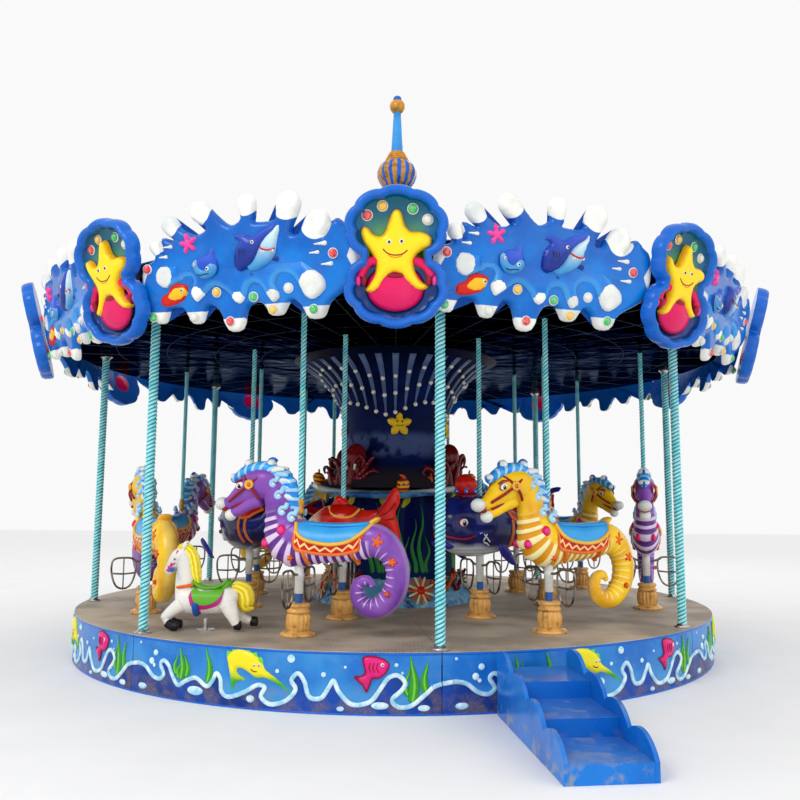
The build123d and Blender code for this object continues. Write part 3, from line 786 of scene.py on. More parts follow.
def make_shell():
    """Scalloped shell with a smiling star on a ball between two claws."""
    b = Build()
    lip = (
        (0, 0.0), (-0.003, 0.03), (0.003, 0.072), (0.018, 0.096), (0.034, 0.1), (0.05, 0.088), (0.062, 0.06),
    )
    rings = [shell_ring(inset, height) for inset, height in lip]
    b.skin(rings, azure_resin, ends=False)
    floor = [shell_ring(0.062, 0.06), shell_ring(0.069, 0.034)]
    edge = shell_ring(0.076, 0.024)
    floor += [
        [(x * s, y * s, 0.024 - 0.01 * (1 - s)) for x, y, _ in edge] for s in (1.0, 0.75, 0.5, 0.25, 0.01)
    ]
    b.skin(floor, shell_inside, ends=False)
    back = shell_ring(0.0, 0.0)
    b.skin([[(x * 0.01, y * 0.01, 0.0) for x, y, z in back], back], azure_resin, ends=False)

    # black rim round the foot of the magenta ball: painted shade where it sits on the shell
    b.ball((-0.005, -0.197, 0.03), (0.192, 0.156, 0.03), black_resin, count=32)
    b.ball((-0.005, -0.197, 0.034), (0.183, 0.148, 0.046), magenta_resin, count=32)
    b.ball((-0.005, -0.118, 0.062), (0.062, 0.02, 0.022), crimson_resin)
    for side, arm in (
        (-1, mm(((-110, -30, 24, 24), (-165, -30, 30, 30), (-205, -75, 26, 26), (-222, -125, 30, 30)))),
        (1, mm(((110, -20, 24, 24), (150, -35, 30, 30), (195, -70, 26, 26), (225, -120, 30, 30)))),
    ):
        b.limb(arm, magenta_resin, lift=0.045)
        x, y = arm[-1][:2]
        b.ball((x - side * 0.018, y - 0.018, 0.052), (0.02, 0.046, 0.026), crimson_resin)
        b.ball((x + side * 0.018, y - 0.024, 0.05), (0.018, 0.036, 0.022), pink_resin)

    outline = closed(STAR, 4)
    puff(b, outline, 0.052, 0.055, star_yellow, 0.014, base=0.03, wall=0.012,
         laid=lambda x, y: (min(reach_in(x, y, outline) / 0.07, 1.0), 0, 0))
    for x, y in ((-0.046, 0.089), (0.032, 0.094)):
        b.ball((x, y, 0.09), (0.016, 0.018, 0.01), white_resin)
        b.ball((x, y, 0.098), (0.008, 0.01, 0.006), black_resin)
    b.tube([(x, y, 0.093) for x, y in FACE_SMILE], 0.0045, crimson_resin)
    b.tube([(x * 0.82 - 0.001, y - 0.014, 0.092) for x, y in FACE_SMILE[1:-1]], 0.0035, orange_resin)
    for x, y, cover in (
        (-0.186, 0.258, GEM_RED), (-0.089, 0.316, GEM_AMBER), (0.102, 0.3, GEM_GREEN),
        (0.197, 0.234, GEM_CLEAR)
    ):
        gem(b, x, y, 0.022, 0.032, cover)
    return b


def make_each(name, build, places, body, slot, node=None):
    """One mesh shown at several places. The first piece stands for the CAD node."""
    first = build.done(f"{name}_1", body, slot, *([node] if node else []), place=places[0])
    for number, place in enumerate(places[1:], 2):
        piece = show(f"{name}_{number}", first.data, body, slot, place=place)
        if node:
            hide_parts(node)
    return first


SHELL_PLACES = [facing(k * 36, SHELL_AT, FACE_MID, FACE_LEAN) for k in range(UNITS)]
make_each("shell_medallion", make_shell(), SHELL_PLACES, "rotor", "shell_resin", "shell_medallions")

# ---- splash panels ----
# Each finger: across, up, radius, lean in degrees.
FINGERS = (
    (-0.677, 0.207, 0.052, -20), (-0.55, 0.343, 0.068, -42), (-0.311, 0.414, 0.078, -48),
    (0.042, 0.431, 0.07, 0), (0.342, 0.401, 0.09, 20), (0.537, 0.262, 0.092, 40),
)
VALLEYS = mm(((-627, 266), (-350, 266), (-93, 306), (98, 310), (355, 214), (665, 280)))
DRIPS = mm(((-690, 70, -325), (-406, 84, -340), (-119, 120, -402), (201, 85, -322), (481, 112, -357)))
BLOBS = mm((
    (-606, 1, 66, 78), (-363, -138, 58, 52), (-51, -180, 46, 42), (204, -186, 46, 46), (492, -132, 96, 98),
))
DROPLETS = mm((
    (-561, 198, 36, -25), (-605, 133, 34, 5), (564, 125, 46, 25), (517, 71, 36, 5), (600, -8, 42, -25),
))
HALF, FOOT = 0.8, -0.262
WAVE_EDGE = mm((
    (-543, 76), (-640, 72), (-680, 30), (-676, -42), (-605, -88), (-525, -61), (-433, -20), (-390, -48),
    (-417, -129), (-375, -192), (-305, -150), (-223, -96), (-140, -138), (-92, -205), (-39, -224), (3, -180),
    (38, -107), (104, -105), (155, -187), (200, -234), (253, -191), (224, -102), (262, -50), (338, -59),
    (390, -129), (421, -199), (489, -232), (583, -162), (565, -80), (483, -10), (400, 90), (200, 110),
    (0, 110), (-200, 110), (-400, 110),
))


def splash_outline():
    """Fingers above, drips below."""
    found = [(-HALF, 0.06)]
    for (across, up, r, lean), valley in zip(FINGERS, VALLEYS):
        dx, dy = sin(radians(lean)), cos(radians(lean))
        foot_x, foot_y = across - dx * r * 1.3, up - dy * r * 1.3
        found.append((foot_x - dy * r * 0.78, foot_y + dx * r * 0.78))
        for turn in (200, 155, 110, 70, 25, -20):
            a = radians(turn)
            found.append((across + (dy * cos(a) + dx * sin(a)) * r, up + (dy * sin(a) - dx * cos(a)) * r))
        if valley != VALLEYS[-1]:
            found.append((foot_x + dy * r * 0.78, foot_y - dx * r * 0.78))
        found.append(valley)
    found.append((0.729, 0.24))
    found.append((HALF, 0.16))
    found.append((HALF, -0.1))
    for across, half, low in reversed(DRIPS):
        found.append((across + half * 1.25, FOOT + 0.035))
        found.append((across + half * 0.85, FOOT - 0.01))
        found.append((across + half * 0.45, low + 0.008))
        found.append((across - half * 0.45, low + 0.008))
        found.append((across - half * 0.85, FOOT - 0.01))
        found.append((across - half * 1.25, FOOT + 0.035))
    found.append((-HALF, -0.14))
    return closed(found, 3)


def splash_white(x, y):
    """1 where a panel is painted white."""
    white = 0.0
    for across, up, r, _ in FINGERS:
        far = hypot(x - across, y - up) / r
        white = max(white, min(max((1.3 - far) / 0.3, 0), 1))
    for across, half, low in DRIPS:
        white = max(
            white, min(max((low + 0.095 - y) / 0.02, 0), 1) * (1 if abs(x - across) < half * 1.15 else 0)
        )
    notch = (abs(x) - 0.735 - abs(y - 0.03) * 0.5) / 0.012
    return (max(white, min(max(notch, 0), 1)), 0, 0)


def wave_sink(x, y):
    """Lets the top of the raised wave run out into the panel."""
    t = min(max((y + 0.11) / 0.22, 0), 1)
    return -0.044 * t * t * (3 - 2 * t) * (1 if x > -0.5 else 0.3)


def splash_paint():
    p = Paint("splash_paint", coat=(0.17, 0.08))
    white, light = p.carried("laid")[:2]
    cloudy = p.noise(4.5, 5.0)
    blue = p.mix(cloudy.between(0.35, 0.68), (2, 98, 190), (8, 122, 214))
    blue = p.mix(light * 0.75, blue, (84, 180, 238))
    blue = p.mix(p.y.between(0.02, 0.36) * 0.6, blue, (2, 76, 168))
    edge = (white + p.noise(20.0) * 0.3 - 0.15).between(0.4, 0.62)
    colour = p.mix(edge, blue, p.mix(cloudy.between(0.4, 0.7), (240, 240, 232), (214, 218, 216)))
    return p.set(p.wear(colour, DUST, 0.2), cloudy * 0.14 + 0.14, p.noise(22.0, 4.0), 0.15, 0.003)


SHARK_BACK = mm((
    (272, 292), (208, 268), (140, 247), (83, 219), (46, 234), (-13, 243), (-58, 224), (-46, 206), (-13, 191),
    (-44, 153), (-62, 104), (-66, 44), (-54, 8), (-23, -14), (20, -2), (66, 20), (110, 66), (140, 120),
    (166, 160), (198, 194), (240, 222), (268, 254),
))
SHARK_BELLY = mm((
    (278, 278), (286, 238), (270, 190), (258, 142), (246, 94), (214, 46), (160, 10), (102, -18), (52, -24),
    (20, 20), (70, 60), (110, 120), (140, 170), (179, 210), (220, 240),
))
SHARK_FIN = mm((
    (40, 5), (54, -8), (102, -18), (98, -48), (58, -86), (7, -94), (-14, -80), (16, -58), (34, -30),
))
SHARK_SIDE = mm(((205, 52), (250, 80), (274, 37), (236, 28)))
PUP = mm((
    (-222, 184), (-240, 150), (-259, 128), (-309, 122), (-351, 89), (-367, 43), (-345, -10), (-294, -41),
    (-227, -27), (-188, 11), (-183, 72), (-204, 115), (-205, 150),
))
PUP_MASK = mm((
    (-366, 80), (-340, 92), (-322, 60), (-300, 36), (-278, 30), (-250, 62), (-214, 66), (-192, 40), (-198, 2),
    (-232, -27), (-294, -40), (-345, -10), (-368, 40),
))
FISH = mm((
    (-425, -92), (-444, -62), (-502, -46), (-560, -58), (-600, -108), (-650, -135), (-652, -196),
    (-605, -206), (-528, -196), (-460, -163),
))
SMALL_STAR_AT = (-0.401, 0.206)


def shade_paint(name, low_tone, high_tone, low, high, angle=0.0):
    """Two painted tones that blend across a relief."""
    p = Paint(name, coat=(0.17, 0.1))
    run = p.x * sin(angle) + p.y * cos(angle) + p.noise(14.0) * 0.04 - 0.02
    return p.set(
        p.mix(run.between(low, high), low_tone, high_tone), p.noise(20.0) * 0.15 + 0.14, p.noise(30.0),
        0.15, 0.002
    )


def make_splash():
    b = Build()
    outline = splash_outline()
    paint = splash_paint()
    puff(b, outline, 0.042, 0.045, paint, 0.017, wall=0.016, laid=splash_white)
    back = [Vector((x, y, 0.0)) for x, y in outline]
    b.skin([[p * 0.02 for p in back], back], azure_resin, ends=False)
    crest = closed(WAVE_EDGE, 3)

    def on_wave(x, y):
        """White drops hang from the wave, and its rolled edge is lighter."""
        drop = max(knoll(x, y, *blob) for blob in BLOBS)
        edge = max(1 - reach_in(x, y, crest) / 0.05, 0) * (1 if y < 0.04 else 0)
        return (min(drop * 6, 1), edge, 0)

    puff(b, crest, 0.042, 0.036, paint, 0.013, base=0.044, rise=wave_sink, laid=on_wave)
    for x, y, size, turn in DROPLETS:
        dx, dy = cos(radians(turn)) * size, sin(radians(turn)) * size
        line = [
            (x - dx, y - dy, 0.004, 0.004), (x, y, size * 0.22, 0.009),
            (x + dx * 0.7, y + dy * 0.7, size * 0.36, 0.012), (x + dx, y + dy, size * 0.2, 0.007)
        ]
        b.limb(line, white_resin, count=12, steps=4, lift=0.056)

    skin_blue = shade_paint("shark_blue", (18, 44, 136), (52, 84, 196), 0.05, 0.3)
    belly = shade_paint("shark_belly", (60, 146, 206), (206, 232, 236), 0.0, 0.24)
    puff(b, closed(SHARK_FIN, 4), 0.03, 0.03, skin_blue, 0.012, base=0.046)
    puff(b, closed(SHARK_SIDE, 4), 0.02, 0.02, skin_blue, 0.012, base=0.046)
    puff(b, closed(SHARK_BELLY, 4), 0.044, 0.05, belly, 0.014, base=0.046)
    puff(b, closed(SHARK_BACK, 4), 0.06, 0.07, skin_blue, 0.014, base=0.046)
    b.ball((0.1, 0.172, 0.102), (0.013, 0.013, 0.009), white_resin)
    b.ball((0.102, 0.172, 0.109), (0.007, 0.007, 0.005), black_resin)
    for i in range(3):
        x = 0.002 + i * 0.02
        b.tube([(x - 0.004, 0.136, 0.102), (x, 0.112, 0.104), (x + 0.014, 0.08, 0.1)], 0.0045, black_resin)
    b.tube(mm(((140, 138, 80), (165, 122, 90), (205, 112, 93), (250, 118, 84))), 0.006, red_resin)
    for i in range(6):
        x = 0.158 + i * 0.016
        hanging = Matrix.Translation((x, 0.114, 0.088)) @ Matrix.Rotation(pi / 2, 4, "X")
        b.lathe([(0.008, 0), (0.006, 0.01), (0.0, 0.02)], white_resin, hanging, 6)
    puff(
        b, closed(PUP, 4), 0.05, 0.06, shade_paint("pup_blue", (24, 74, 190), (62, 96, 206), 0.0, 0.16),
        0.013, base=0.046
    )
    puff(b, closed(PUP_MASK, 4), 0.03, 0.04, belly, 0.012, base=0.076)
    for x, y, r in mm(((-345, 58, 11), (-246, 26, 14))):
        b.ball((x, y, 0.108), (r, r, 0.008), white_resin)
        b.ball((x, y, 0.115), (r / 2, r / 2, 0.005), black_resin)
    b.tube(mm(((-330, -6, 98), (-305, -14, 102), (-270, -8, 104), (-240, -8, 102))), 0.004, black_resin)
    fish = shade_paint("reef_fish", (250, 186, 30), (226, 74, 16), -0.16, -0.1, 0.2)
    puff(b, closed(FISH, 4), 0.032, 0.03, red_resin, 0.014, base=0.046)
    puff(
        b,
        closed(mm((
            (-436, -92), (-470, -72), (-540, -80), (-596, -140), (-560, -172), (-500, -172), (-450, -140),
        )), 4),
        0.032, 0.04, fish, 0.012, base=0.058
    )
    b.ball((-0.468, -0.104, 0.088), (0.012, 0.012, 0.008), white_resin)
    b.ball((-0.467, -0.104, 0.095), (0.007, 0.007, 0.005), black_resin)
    starfish(b, (*SMALL_STAR_AT, 0.05), 0.074, pink_resin, 0.2, 0.03)
    for cover, spots in (
        (GEM_RED, ((-739, 60), (648, 56), (-132, -336))),
        (GEM_AMBER, ((-216, -134), (191, -277))),
        (GEM_GREEN, ((57, -183), (-725, -272), (484, -293))),
        (GEM_CLEAR, ((316, -143), (-407, -290))),
    ):
        for x, y in spots:
            gem(b, x / 1000, y / 1000, 0.058, 0.031, cover)
    return b


SPLASH_PLACES = [facing(k * 36 + 18, PANEL_AT, FACE_MID, FACE_LEAN) for k in range(UNITS)]
make_each("splash_panel", make_splash(), SPLASH_PLACES, "rotor", "splash_resin", "splash_panels")


# ---- finial ----
def onion_paint():
    """Onion dome: gold ribs between blue gores."""
    p = Paint("onion_gold_blue", coat=(0.17, 0.12))
    turn = p.turn()
    rib = (turn * 14).wave().between(-0.25, 0.05)
    rubbed = p.noise(20.0, 5.0).between(0.4, 0.7)
    colour = p.mix(rib, p.mix(rubbed, AZURE, (10, 66, 140)), p.mix(rubbed, GOLD, (140, 96, 40)))
    return p.set(colour, rubbed * 0.18 + 0.2, p.noise(50.0), 0.15, 0.002)


def finial_parts():
    base = Build()
    foot = [
        (0.29, -0.708), (0.285, -0.65), (0.258, -0.59), (0.205, -0.5), (0.15, -0.4), (0.125, -0.2),
        (0.118, -0.06)
    ]
    base.lathe(foot, azure_resin, count=48)
    base.lathe([
        (0.118, -0.065), (0.15, -0.055), (0.162, -0.03), (0.155, -0.005), (0.13, 0.0),
    ], gold, count=48)
    base.done("finial_base_moulding", "rotor", "finial_gold", "finial_base", place=standing(0, 0, FINIAL_Z))
    spire = Build()
    dome = [
        (0.13, 0.0), (0.15, 0.02), (0.188, 0.07), (0.208, 0.13), (0.21, 0.18), (0.19, 0.235),
        (0.155, 0.275), (0.135, 0.29)
    ]
    spire.lathe(dome, onion_paint(), count=84, swell=lambda a, i: 1 + 0.018 * cos(14 * a) * (0 < i < 7))
    for low, size in ((0.288, 0.132), (0.318, 0.116), (0.346, 0.102), (0.372, 0.088)):
        step = [(size * 0.9, low), (size, low + 0.008), (size * 1.01, low + 0.018), (size * 0.9, low + 0.03)]
        spire.lathe(step, gold, count=40)
    blue = gelcoat("spire_blue", (64, 160, 232), (30, 120, 200))
    spire.lathe([(0.068, 0.395), (0.064, 0.42), (0.056, 0.55), (0.048, 0.7), (0.04, 0.86)], blue, count=32)
    tip = [(0.04, 0.855), (0.06, 0.87), (0.08, 0.905), (0.084, 0.94), (0.07, 0.975), (0.045, 0.995)]
    spire.lathe(tip, gold, count=32)
    spire.lathe([
        (0.044, 0.99), (0.046, 1.015), (0.04, 1.035), (0.02, 1.048), (0.0, 1.05),
    ], azure_resin, count=24)
    spire.done("finial_spire_turned", "rotor", "finial_gold", "finial_spire", place=standing(0, 0, FINIAL_Z))


finial_parts()


# ---- Running gear under and over each rider ----
ROPE_LOW, ROPE_HIGH, ROPE_RING = 0.977, 2.53, 0.006


def twist(b, low, high, radius, depth, count):
    """Twisted pole along local z, its strands standing depth above and below the radius."""
    turns = int((high - low) / ROPE_RING)
    rings = []
    for i in range(turns + 1):
        z = low + (high - low) * i / turns
        ring = []
        for j in range(count):
            a = tau * j / count
            r = radius + depth * cos(ROPE_STRANDS * a - z * tau / ROPE_LAY)
            ring.append((r * cos(a), r * sin(a), z))
        rings.append(ring)
    b.skin(rings, rope_finish)


def make_gear():
    """Twisted pole, gold collar, rod, white sleeve and a pair of foot loops. Local z up from the deck."""
    b = Build()
    twist(b, ROPE_LOW, ROPE_HIGH, 0.02, 0.003, 12)
    b.lathe([
        (0.022, 0.872), (0.03, 0.88), (0.031, 0.9), (0.024, 0.912), (0.026, 0.95), (0.03, 0.962),
        (0.026, 0.98),
    ], gold, count=20)
    b.lathe([(0.019, 0.75), (0.019, 0.885)], bright_rod, count=16)
    sleeve = [
        (0.0285, 0.298), (0.033, 0.3), (0.033, 0.42), (0.036, 0.424), (0.036, 0.446), (0.033, 0.45),
        (0.033, 0.755), (0.03, 0.76)
    ]
    b.lathe(sleeve, white_resin, count=20)
    for side in (-1, 1):
        loop = [
            (0, side * y, z)
            for y, z in (
                (0.112, 0.455), (0.2, 0.474), (0.288, 0.455), (0.298, 0.35),
                (0.262, 0.245), (0.2, 0.214), (0.138, 0.245), (0.102, 0.35),
            )
        ]
        b.tube(loop, 0.0085, shaded_loop_steel, closed=True, steps=5)
        b.tube([
            (0, side * 0.104, 0.345), (0, side * 0.2, 0.338), (0, side * 0.296, 0.345),
        ], 0.0075, shaded_loop_steel)
        b.tube([(0, side * 0.2, 0.47), (0, side * 0.2, 0.34), (0, side * 0.2, 0.22)], 0.006, shaded_loop_steel)
        b.tube([(0, side * 0.03, 0.436), (0, side * 0.08, 0.44), (0, side * 0.13, 0.462)], 0.01, shaded_loop_steel)
    return b


def make_pedestal():
    """Fluted gold pedestal on a scalloped foot."""
    b = Build()
    foot = [(0.125, 0.0), (0.128, 0.012), (0.118, 0.026), (0.098, 0.034), (0.084, 0.04)]
    b.lathe(foot, pedestal_gold, count=72, swell=lambda a, i: 1 + 0.045 * abs(cos(6 * a)) * (i < 3))
    belly = [(0.08, 0.036), (0.086, 0.05), (0.093, 0.085), (0.094, 0.115), (0.088, 0.145), (0.076, 0.168)]
    b.lathe(belly, pedestal_gold, count=96, swell=lambda a, i: 1 - 0.12 * abs(sin(8 * a)) ** 0.5 * (i > 0))
    neck = [
        (0.074, 0.16), (0.086, 0.168), (0.088, 0.178), (0.076, 0.186), (0.074, 0.2), (0.084, 0.208),
        (0.086, 0.222), (0.076, 0.232), (0.028, 0.233)
    ]
    b.lathe(neck, pedestal_gold, count=48)
    return b


rider_spots = [(RIDER_ANGLE + k * 45, at) for k in range(SECTORS) for at in (OUTER_AT, INNER_AT)]
pedestal_places = [standing(angle, at, DECK_Z) for angle, at in rider_spots]
make_each("pedestal", make_pedestal(), pedestal_places, "rotor", "pedestal_gold", "rider_pedestals")

gear = make_gear().done(
    "seahorse_gear_1", "seahorse_rider_1", "rope_pole", "seahorse_pole_1",
    place=standing(RIDER_ANGLE, OUTER_AT, DECK_Z)
).data
for k in range(1, SECTORS):
    spot = standing(RIDER_ANGLE + k * 45, OUTER_AT, DECK_Z)
    show(
        f"seahorse_gear_{k + 1}", gear, f"seahorse_rider_{k + 1}", "rope_pole", f"seahorse_pole_{k + 1}",
        place=spot
    )
for k in range(SECTORS):
    kind = "whale" if k % 2 else "fish"
    spot = standing(RIDER_ANGLE + k * 45, INNER_AT, DECK_Z)
    show(f"{kind}_gear_{k + 1}", gear, f"{kind}_{k + 1}", "rope_pole", place=spot)


def make_rim_pole():
    b = Build()
    high = CEILING_Z - DECK_Z
    twist(b, 0.0, high, 0.0335, 0.004, 14)
    b.lathe([(0.062, 0.0), (0.062, 0.01), (0.044, 0.016), (0.04, 0.03)], bright_rod, count=24)
    b.lathe([
        (0.04, high - 0.03), (0.044, high - 0.016), (0.062, high - 0.008), (0.062, high),
    ], bright_rod, count=24)
    return b


rim_places = [standing(SEAM_ANGLE + k * 45, 2.925, DECK_Z) for k in range(SECTORS)]
make_each("rim_pole", make_rim_pole(), rim_places, "rotor", "rope_pole", "rim_poles")


# ---- Seahorses ----
NECK_FROM = 1.86


def striped_hide(name, colour, shade, pale, belly_shade_tone):
    """Seahorse hide: smooth back with a painted highlight along it, ribbed pale stripes over chest and belly
    with painted shade on the underside between them, and pale rings on the tail that are painted highlights.
    """
    p = Paint(name, coat=(0.17, 0.08))
    s, c = p.carried("laid")[:2]
    cloudy = p.noise(6.0, 5.0)
    hide = p.mix(cloudy.between(0.35, 0.68), colour, shade)
    trunk = s.between(1.02, 1.1) * s.between(NECK_FROM + 0.08, NECK_FROM)
    belly = (c + cloudy * 0.3).between(0.22, 0.02) * trunk
    stripe = (s * (tau / 0.058)).wave()
    # painted shade: the underside of the trunk is darkened between the pale stripes
    dark = p.mix(belly * 0.85, hide, belly_shade_tone)
    chest = p.mix(belly * stripe.between(-0.05, 0.25), dark, pale)
    # painted highlights: pale rings on the ridges of the tail
    ring = (s * (tau / 0.062)).wave().between(0.7, 0.95) * c.between(0.1, -0.4) * s.between(1.0, 0.9) * 0.7
    # painted highlight: a pale band along the back
    top = c.between(0.75, 0.98) * 0.25
    colour = p.mix(ring, chest, pale)
    colour = p.mix(top, colour, pale)
    return p.set(p.wear(colour, DUST, 0.25), cloudy * 0.15 + 0.14, p.noise(24.0, 4.0), 0.15, 0.003)


def mane_paint():
    p = Paint("mane_blue", coat=(0.17, 0.1))
    s, c = p.carried("laid")[:2]
    strand = (s * 95 + c * 2.0).wave().between(0.1, 0.8)
    cloudy = p.noise(12.0, 4.0)
    colour = p.mix(
        strand * 0.7, p.mix(cloudy.between(0.4, 0.65), (24, 132, 222), (60, 170, 240)), (196, 232, 248)
    )
    return p.set(colour, cloudy * 0.12 + 0.16, strand + cloudy * 0.3, 0.3, 0.003)


def zigzag_cloth():
    """Painted saddle cloth: orange edge, red field with a pale zigzag."""
    p = Paint("zigzag_cloth", coat=(0.13, 0.15))
    along, down = p.carried("laid")[:2]
    tooth = ((along * 9).part() - 0.5).size() * 2
    line = ((down - 0.32 - tooth * 0.36).size()).between(0.13, 0.07)
    field = p.mix(p.noise(20.0).between(0.4, 0.65), (222, 30, 14), (190, 18, 12))
    colour = p.mix(line, field, (250, 216, 140))
    edge = down.between(0.8, 0.84).either(along.between(0.04, 0.03)).either(along.between(0.96, 0.97))
    colour = p.mix(edge, colour, (244, 130, 44))
    return p.set(colour, p.noise(30.0) * 0.15 + 0.2, line + edge * 1.4, 0.4, 0.003)


mane_blue, saddle_cloth = mane_paint(), zigzag_cloth()
saddle_blue = gelcoat("saddle_blue", (64, 170, 232), (36, 140, 214))
rim_gold = gelcoat("rim_gold", (246, 196, 70), (222, 150, 44))
strap_red = gelcoat("strap_red", (158, 20, 30), (120, 10, 22))
strap_orange = gelcoat("strap_orange", (232, 122, 40), (190, 84, 24))
pale_blue = gelcoat("pale_blue", (180, 222, 246), (120, 190, 236))

TORSO = mm((
    (-575, 365, 18, 18), (-530, 408, 34, 32), (-465, 385, 44, 42), (-448, 320, 50, 50), (-478, 250, 58, 58),
    (-555, 212, 68, 66), (-645, 238, 78, 74), (-720, 320, 84, 80), (-752, 430, 84, 84), (-738, 540, 88, 88),
    (-680, 635, 105, 92), (-580, 690, 120, 100), (-440, 675, 130, 110), (-280, 660, 135, 118),
    (-120, 660, 150, 125), (20, 665, 180, 125), (100, 720, 185, 115), (135, 800, 150, 100),
    (155, 880, 122, 88), (172, 960, 112, 80), (196, 1040, 112, 78), (240, 1105, 112, 80),
))
SADDLE_RIM = mm((
    (-2, 812), (-30, 735), (-100, 690), (-200, 668), (-300, 662), (-420, 685), (-520, 750), (-578, 820),
))
CLOTH_HEM = mm((
    (4, 705), (-15, 622), (-90, 602), (-190, 588), (-300, 584), (-400, 596), (-487, 623), (-500, 700),
))


def torso_depth(u, v, stations):
    """How far out the torso's side is at a place on its silhouette."""
    best = None
    for (ax, ay, aw, ad), (bx, by, bw, bd) in zip(stations, stations[1:]):
        if ax <= u <= bx and ay > 0.55:
            t = (u - ax) / (bx - ax)
            centre, width, depth = ay + (by - ay) * t, aw + (bw - aw) * t, ad + (bd - ad) * t
            share = min(abs(v - centre) / width, 1.0)
            best = max(best or 0, depth * sqrt(1 - share * share))
    return best or 0.0


def draped(b, upper, lower, side, stations, material, lift, rows=6, steps=4):
    """Sheet laid on a torso's side between two lines."""
    top, hem = smooth(upper, steps), smooth(lower, steps)
    rings = []
    for i in range(rows + 1):
        t = i / rows
        ring = []
        for (ax, ay), (bx, by) in zip(top, hem):
            u, v = ax + (bx - ax) * t, ay + (by - ay) * t
            ring.append((u, v, side * (torso_depth(u, v, stations) + lift)))
        rings.append(ring)
    count = len(top) - 1
    b.skin(rings, material, around=False, laid=lambda i, j: (j / count, i / rows, 0))


def curl(b, x, y, z, radius, material, turn=1, thick=0.3):
    """Painted wave curl: a spiral roll with a pale bead in its eye."""
    points = []
    for i in range(11):
        a = turn * (2.6 - i * 0.56)
        r = radius * (1 - i * 0.072)
        points.append((x + r * cos(a), y + r * sin(a), z))
    b.tube(points, radius * thick, material, count=8, steps=2)
    b.ball((x, y, z), (radius * 0.42, radius * 0.42, radius * 0.4), white_resin, count=12, rings=7)


def eye(b, x, y, z, side, size, turn=0.0):
    """Almond eye with a dark pupil and a spark."""
    place = Matrix.Translation((x, y, side * z)) @ Matrix.Rotation(turn, 4, "Z")
    b.ball((0, 0, 0), (size * 1.3, size, size * 0.45), strap_red, place, 18)
    b.ball((0, 0, side * size * 0.18), (size * 1.12, size * 0.82, size * 0.42), white_resin, place, 18)
    b.ball(
        (size * 0.1, -size * 0.1, side * size * 0.42), (size * 0.55, size * 0.6, size * 0.24), black_resin,
        place, 14
    )
    b.ball(
        (size * 0.28, size * 0.16, side * size * 0.62), (size * 0.16, size * 0.16, size * 0.08),
        white_resin, place, 10
    )


def groove(s, angle):
    """Ribs over the belly and rings on the tail."""
    belly = max(-cos(angle) + 0.25, 0.0)
    if s > NECK_FROM + 0.05:
        return 1
    if s > 1.04:
        return 1 + 0.045 * sin(s * tau / 0.058) * min(belly * 2, 1)
    return 1 + 0.028 * sin(s * tau / 0.062) * min(belly * 2, 1)


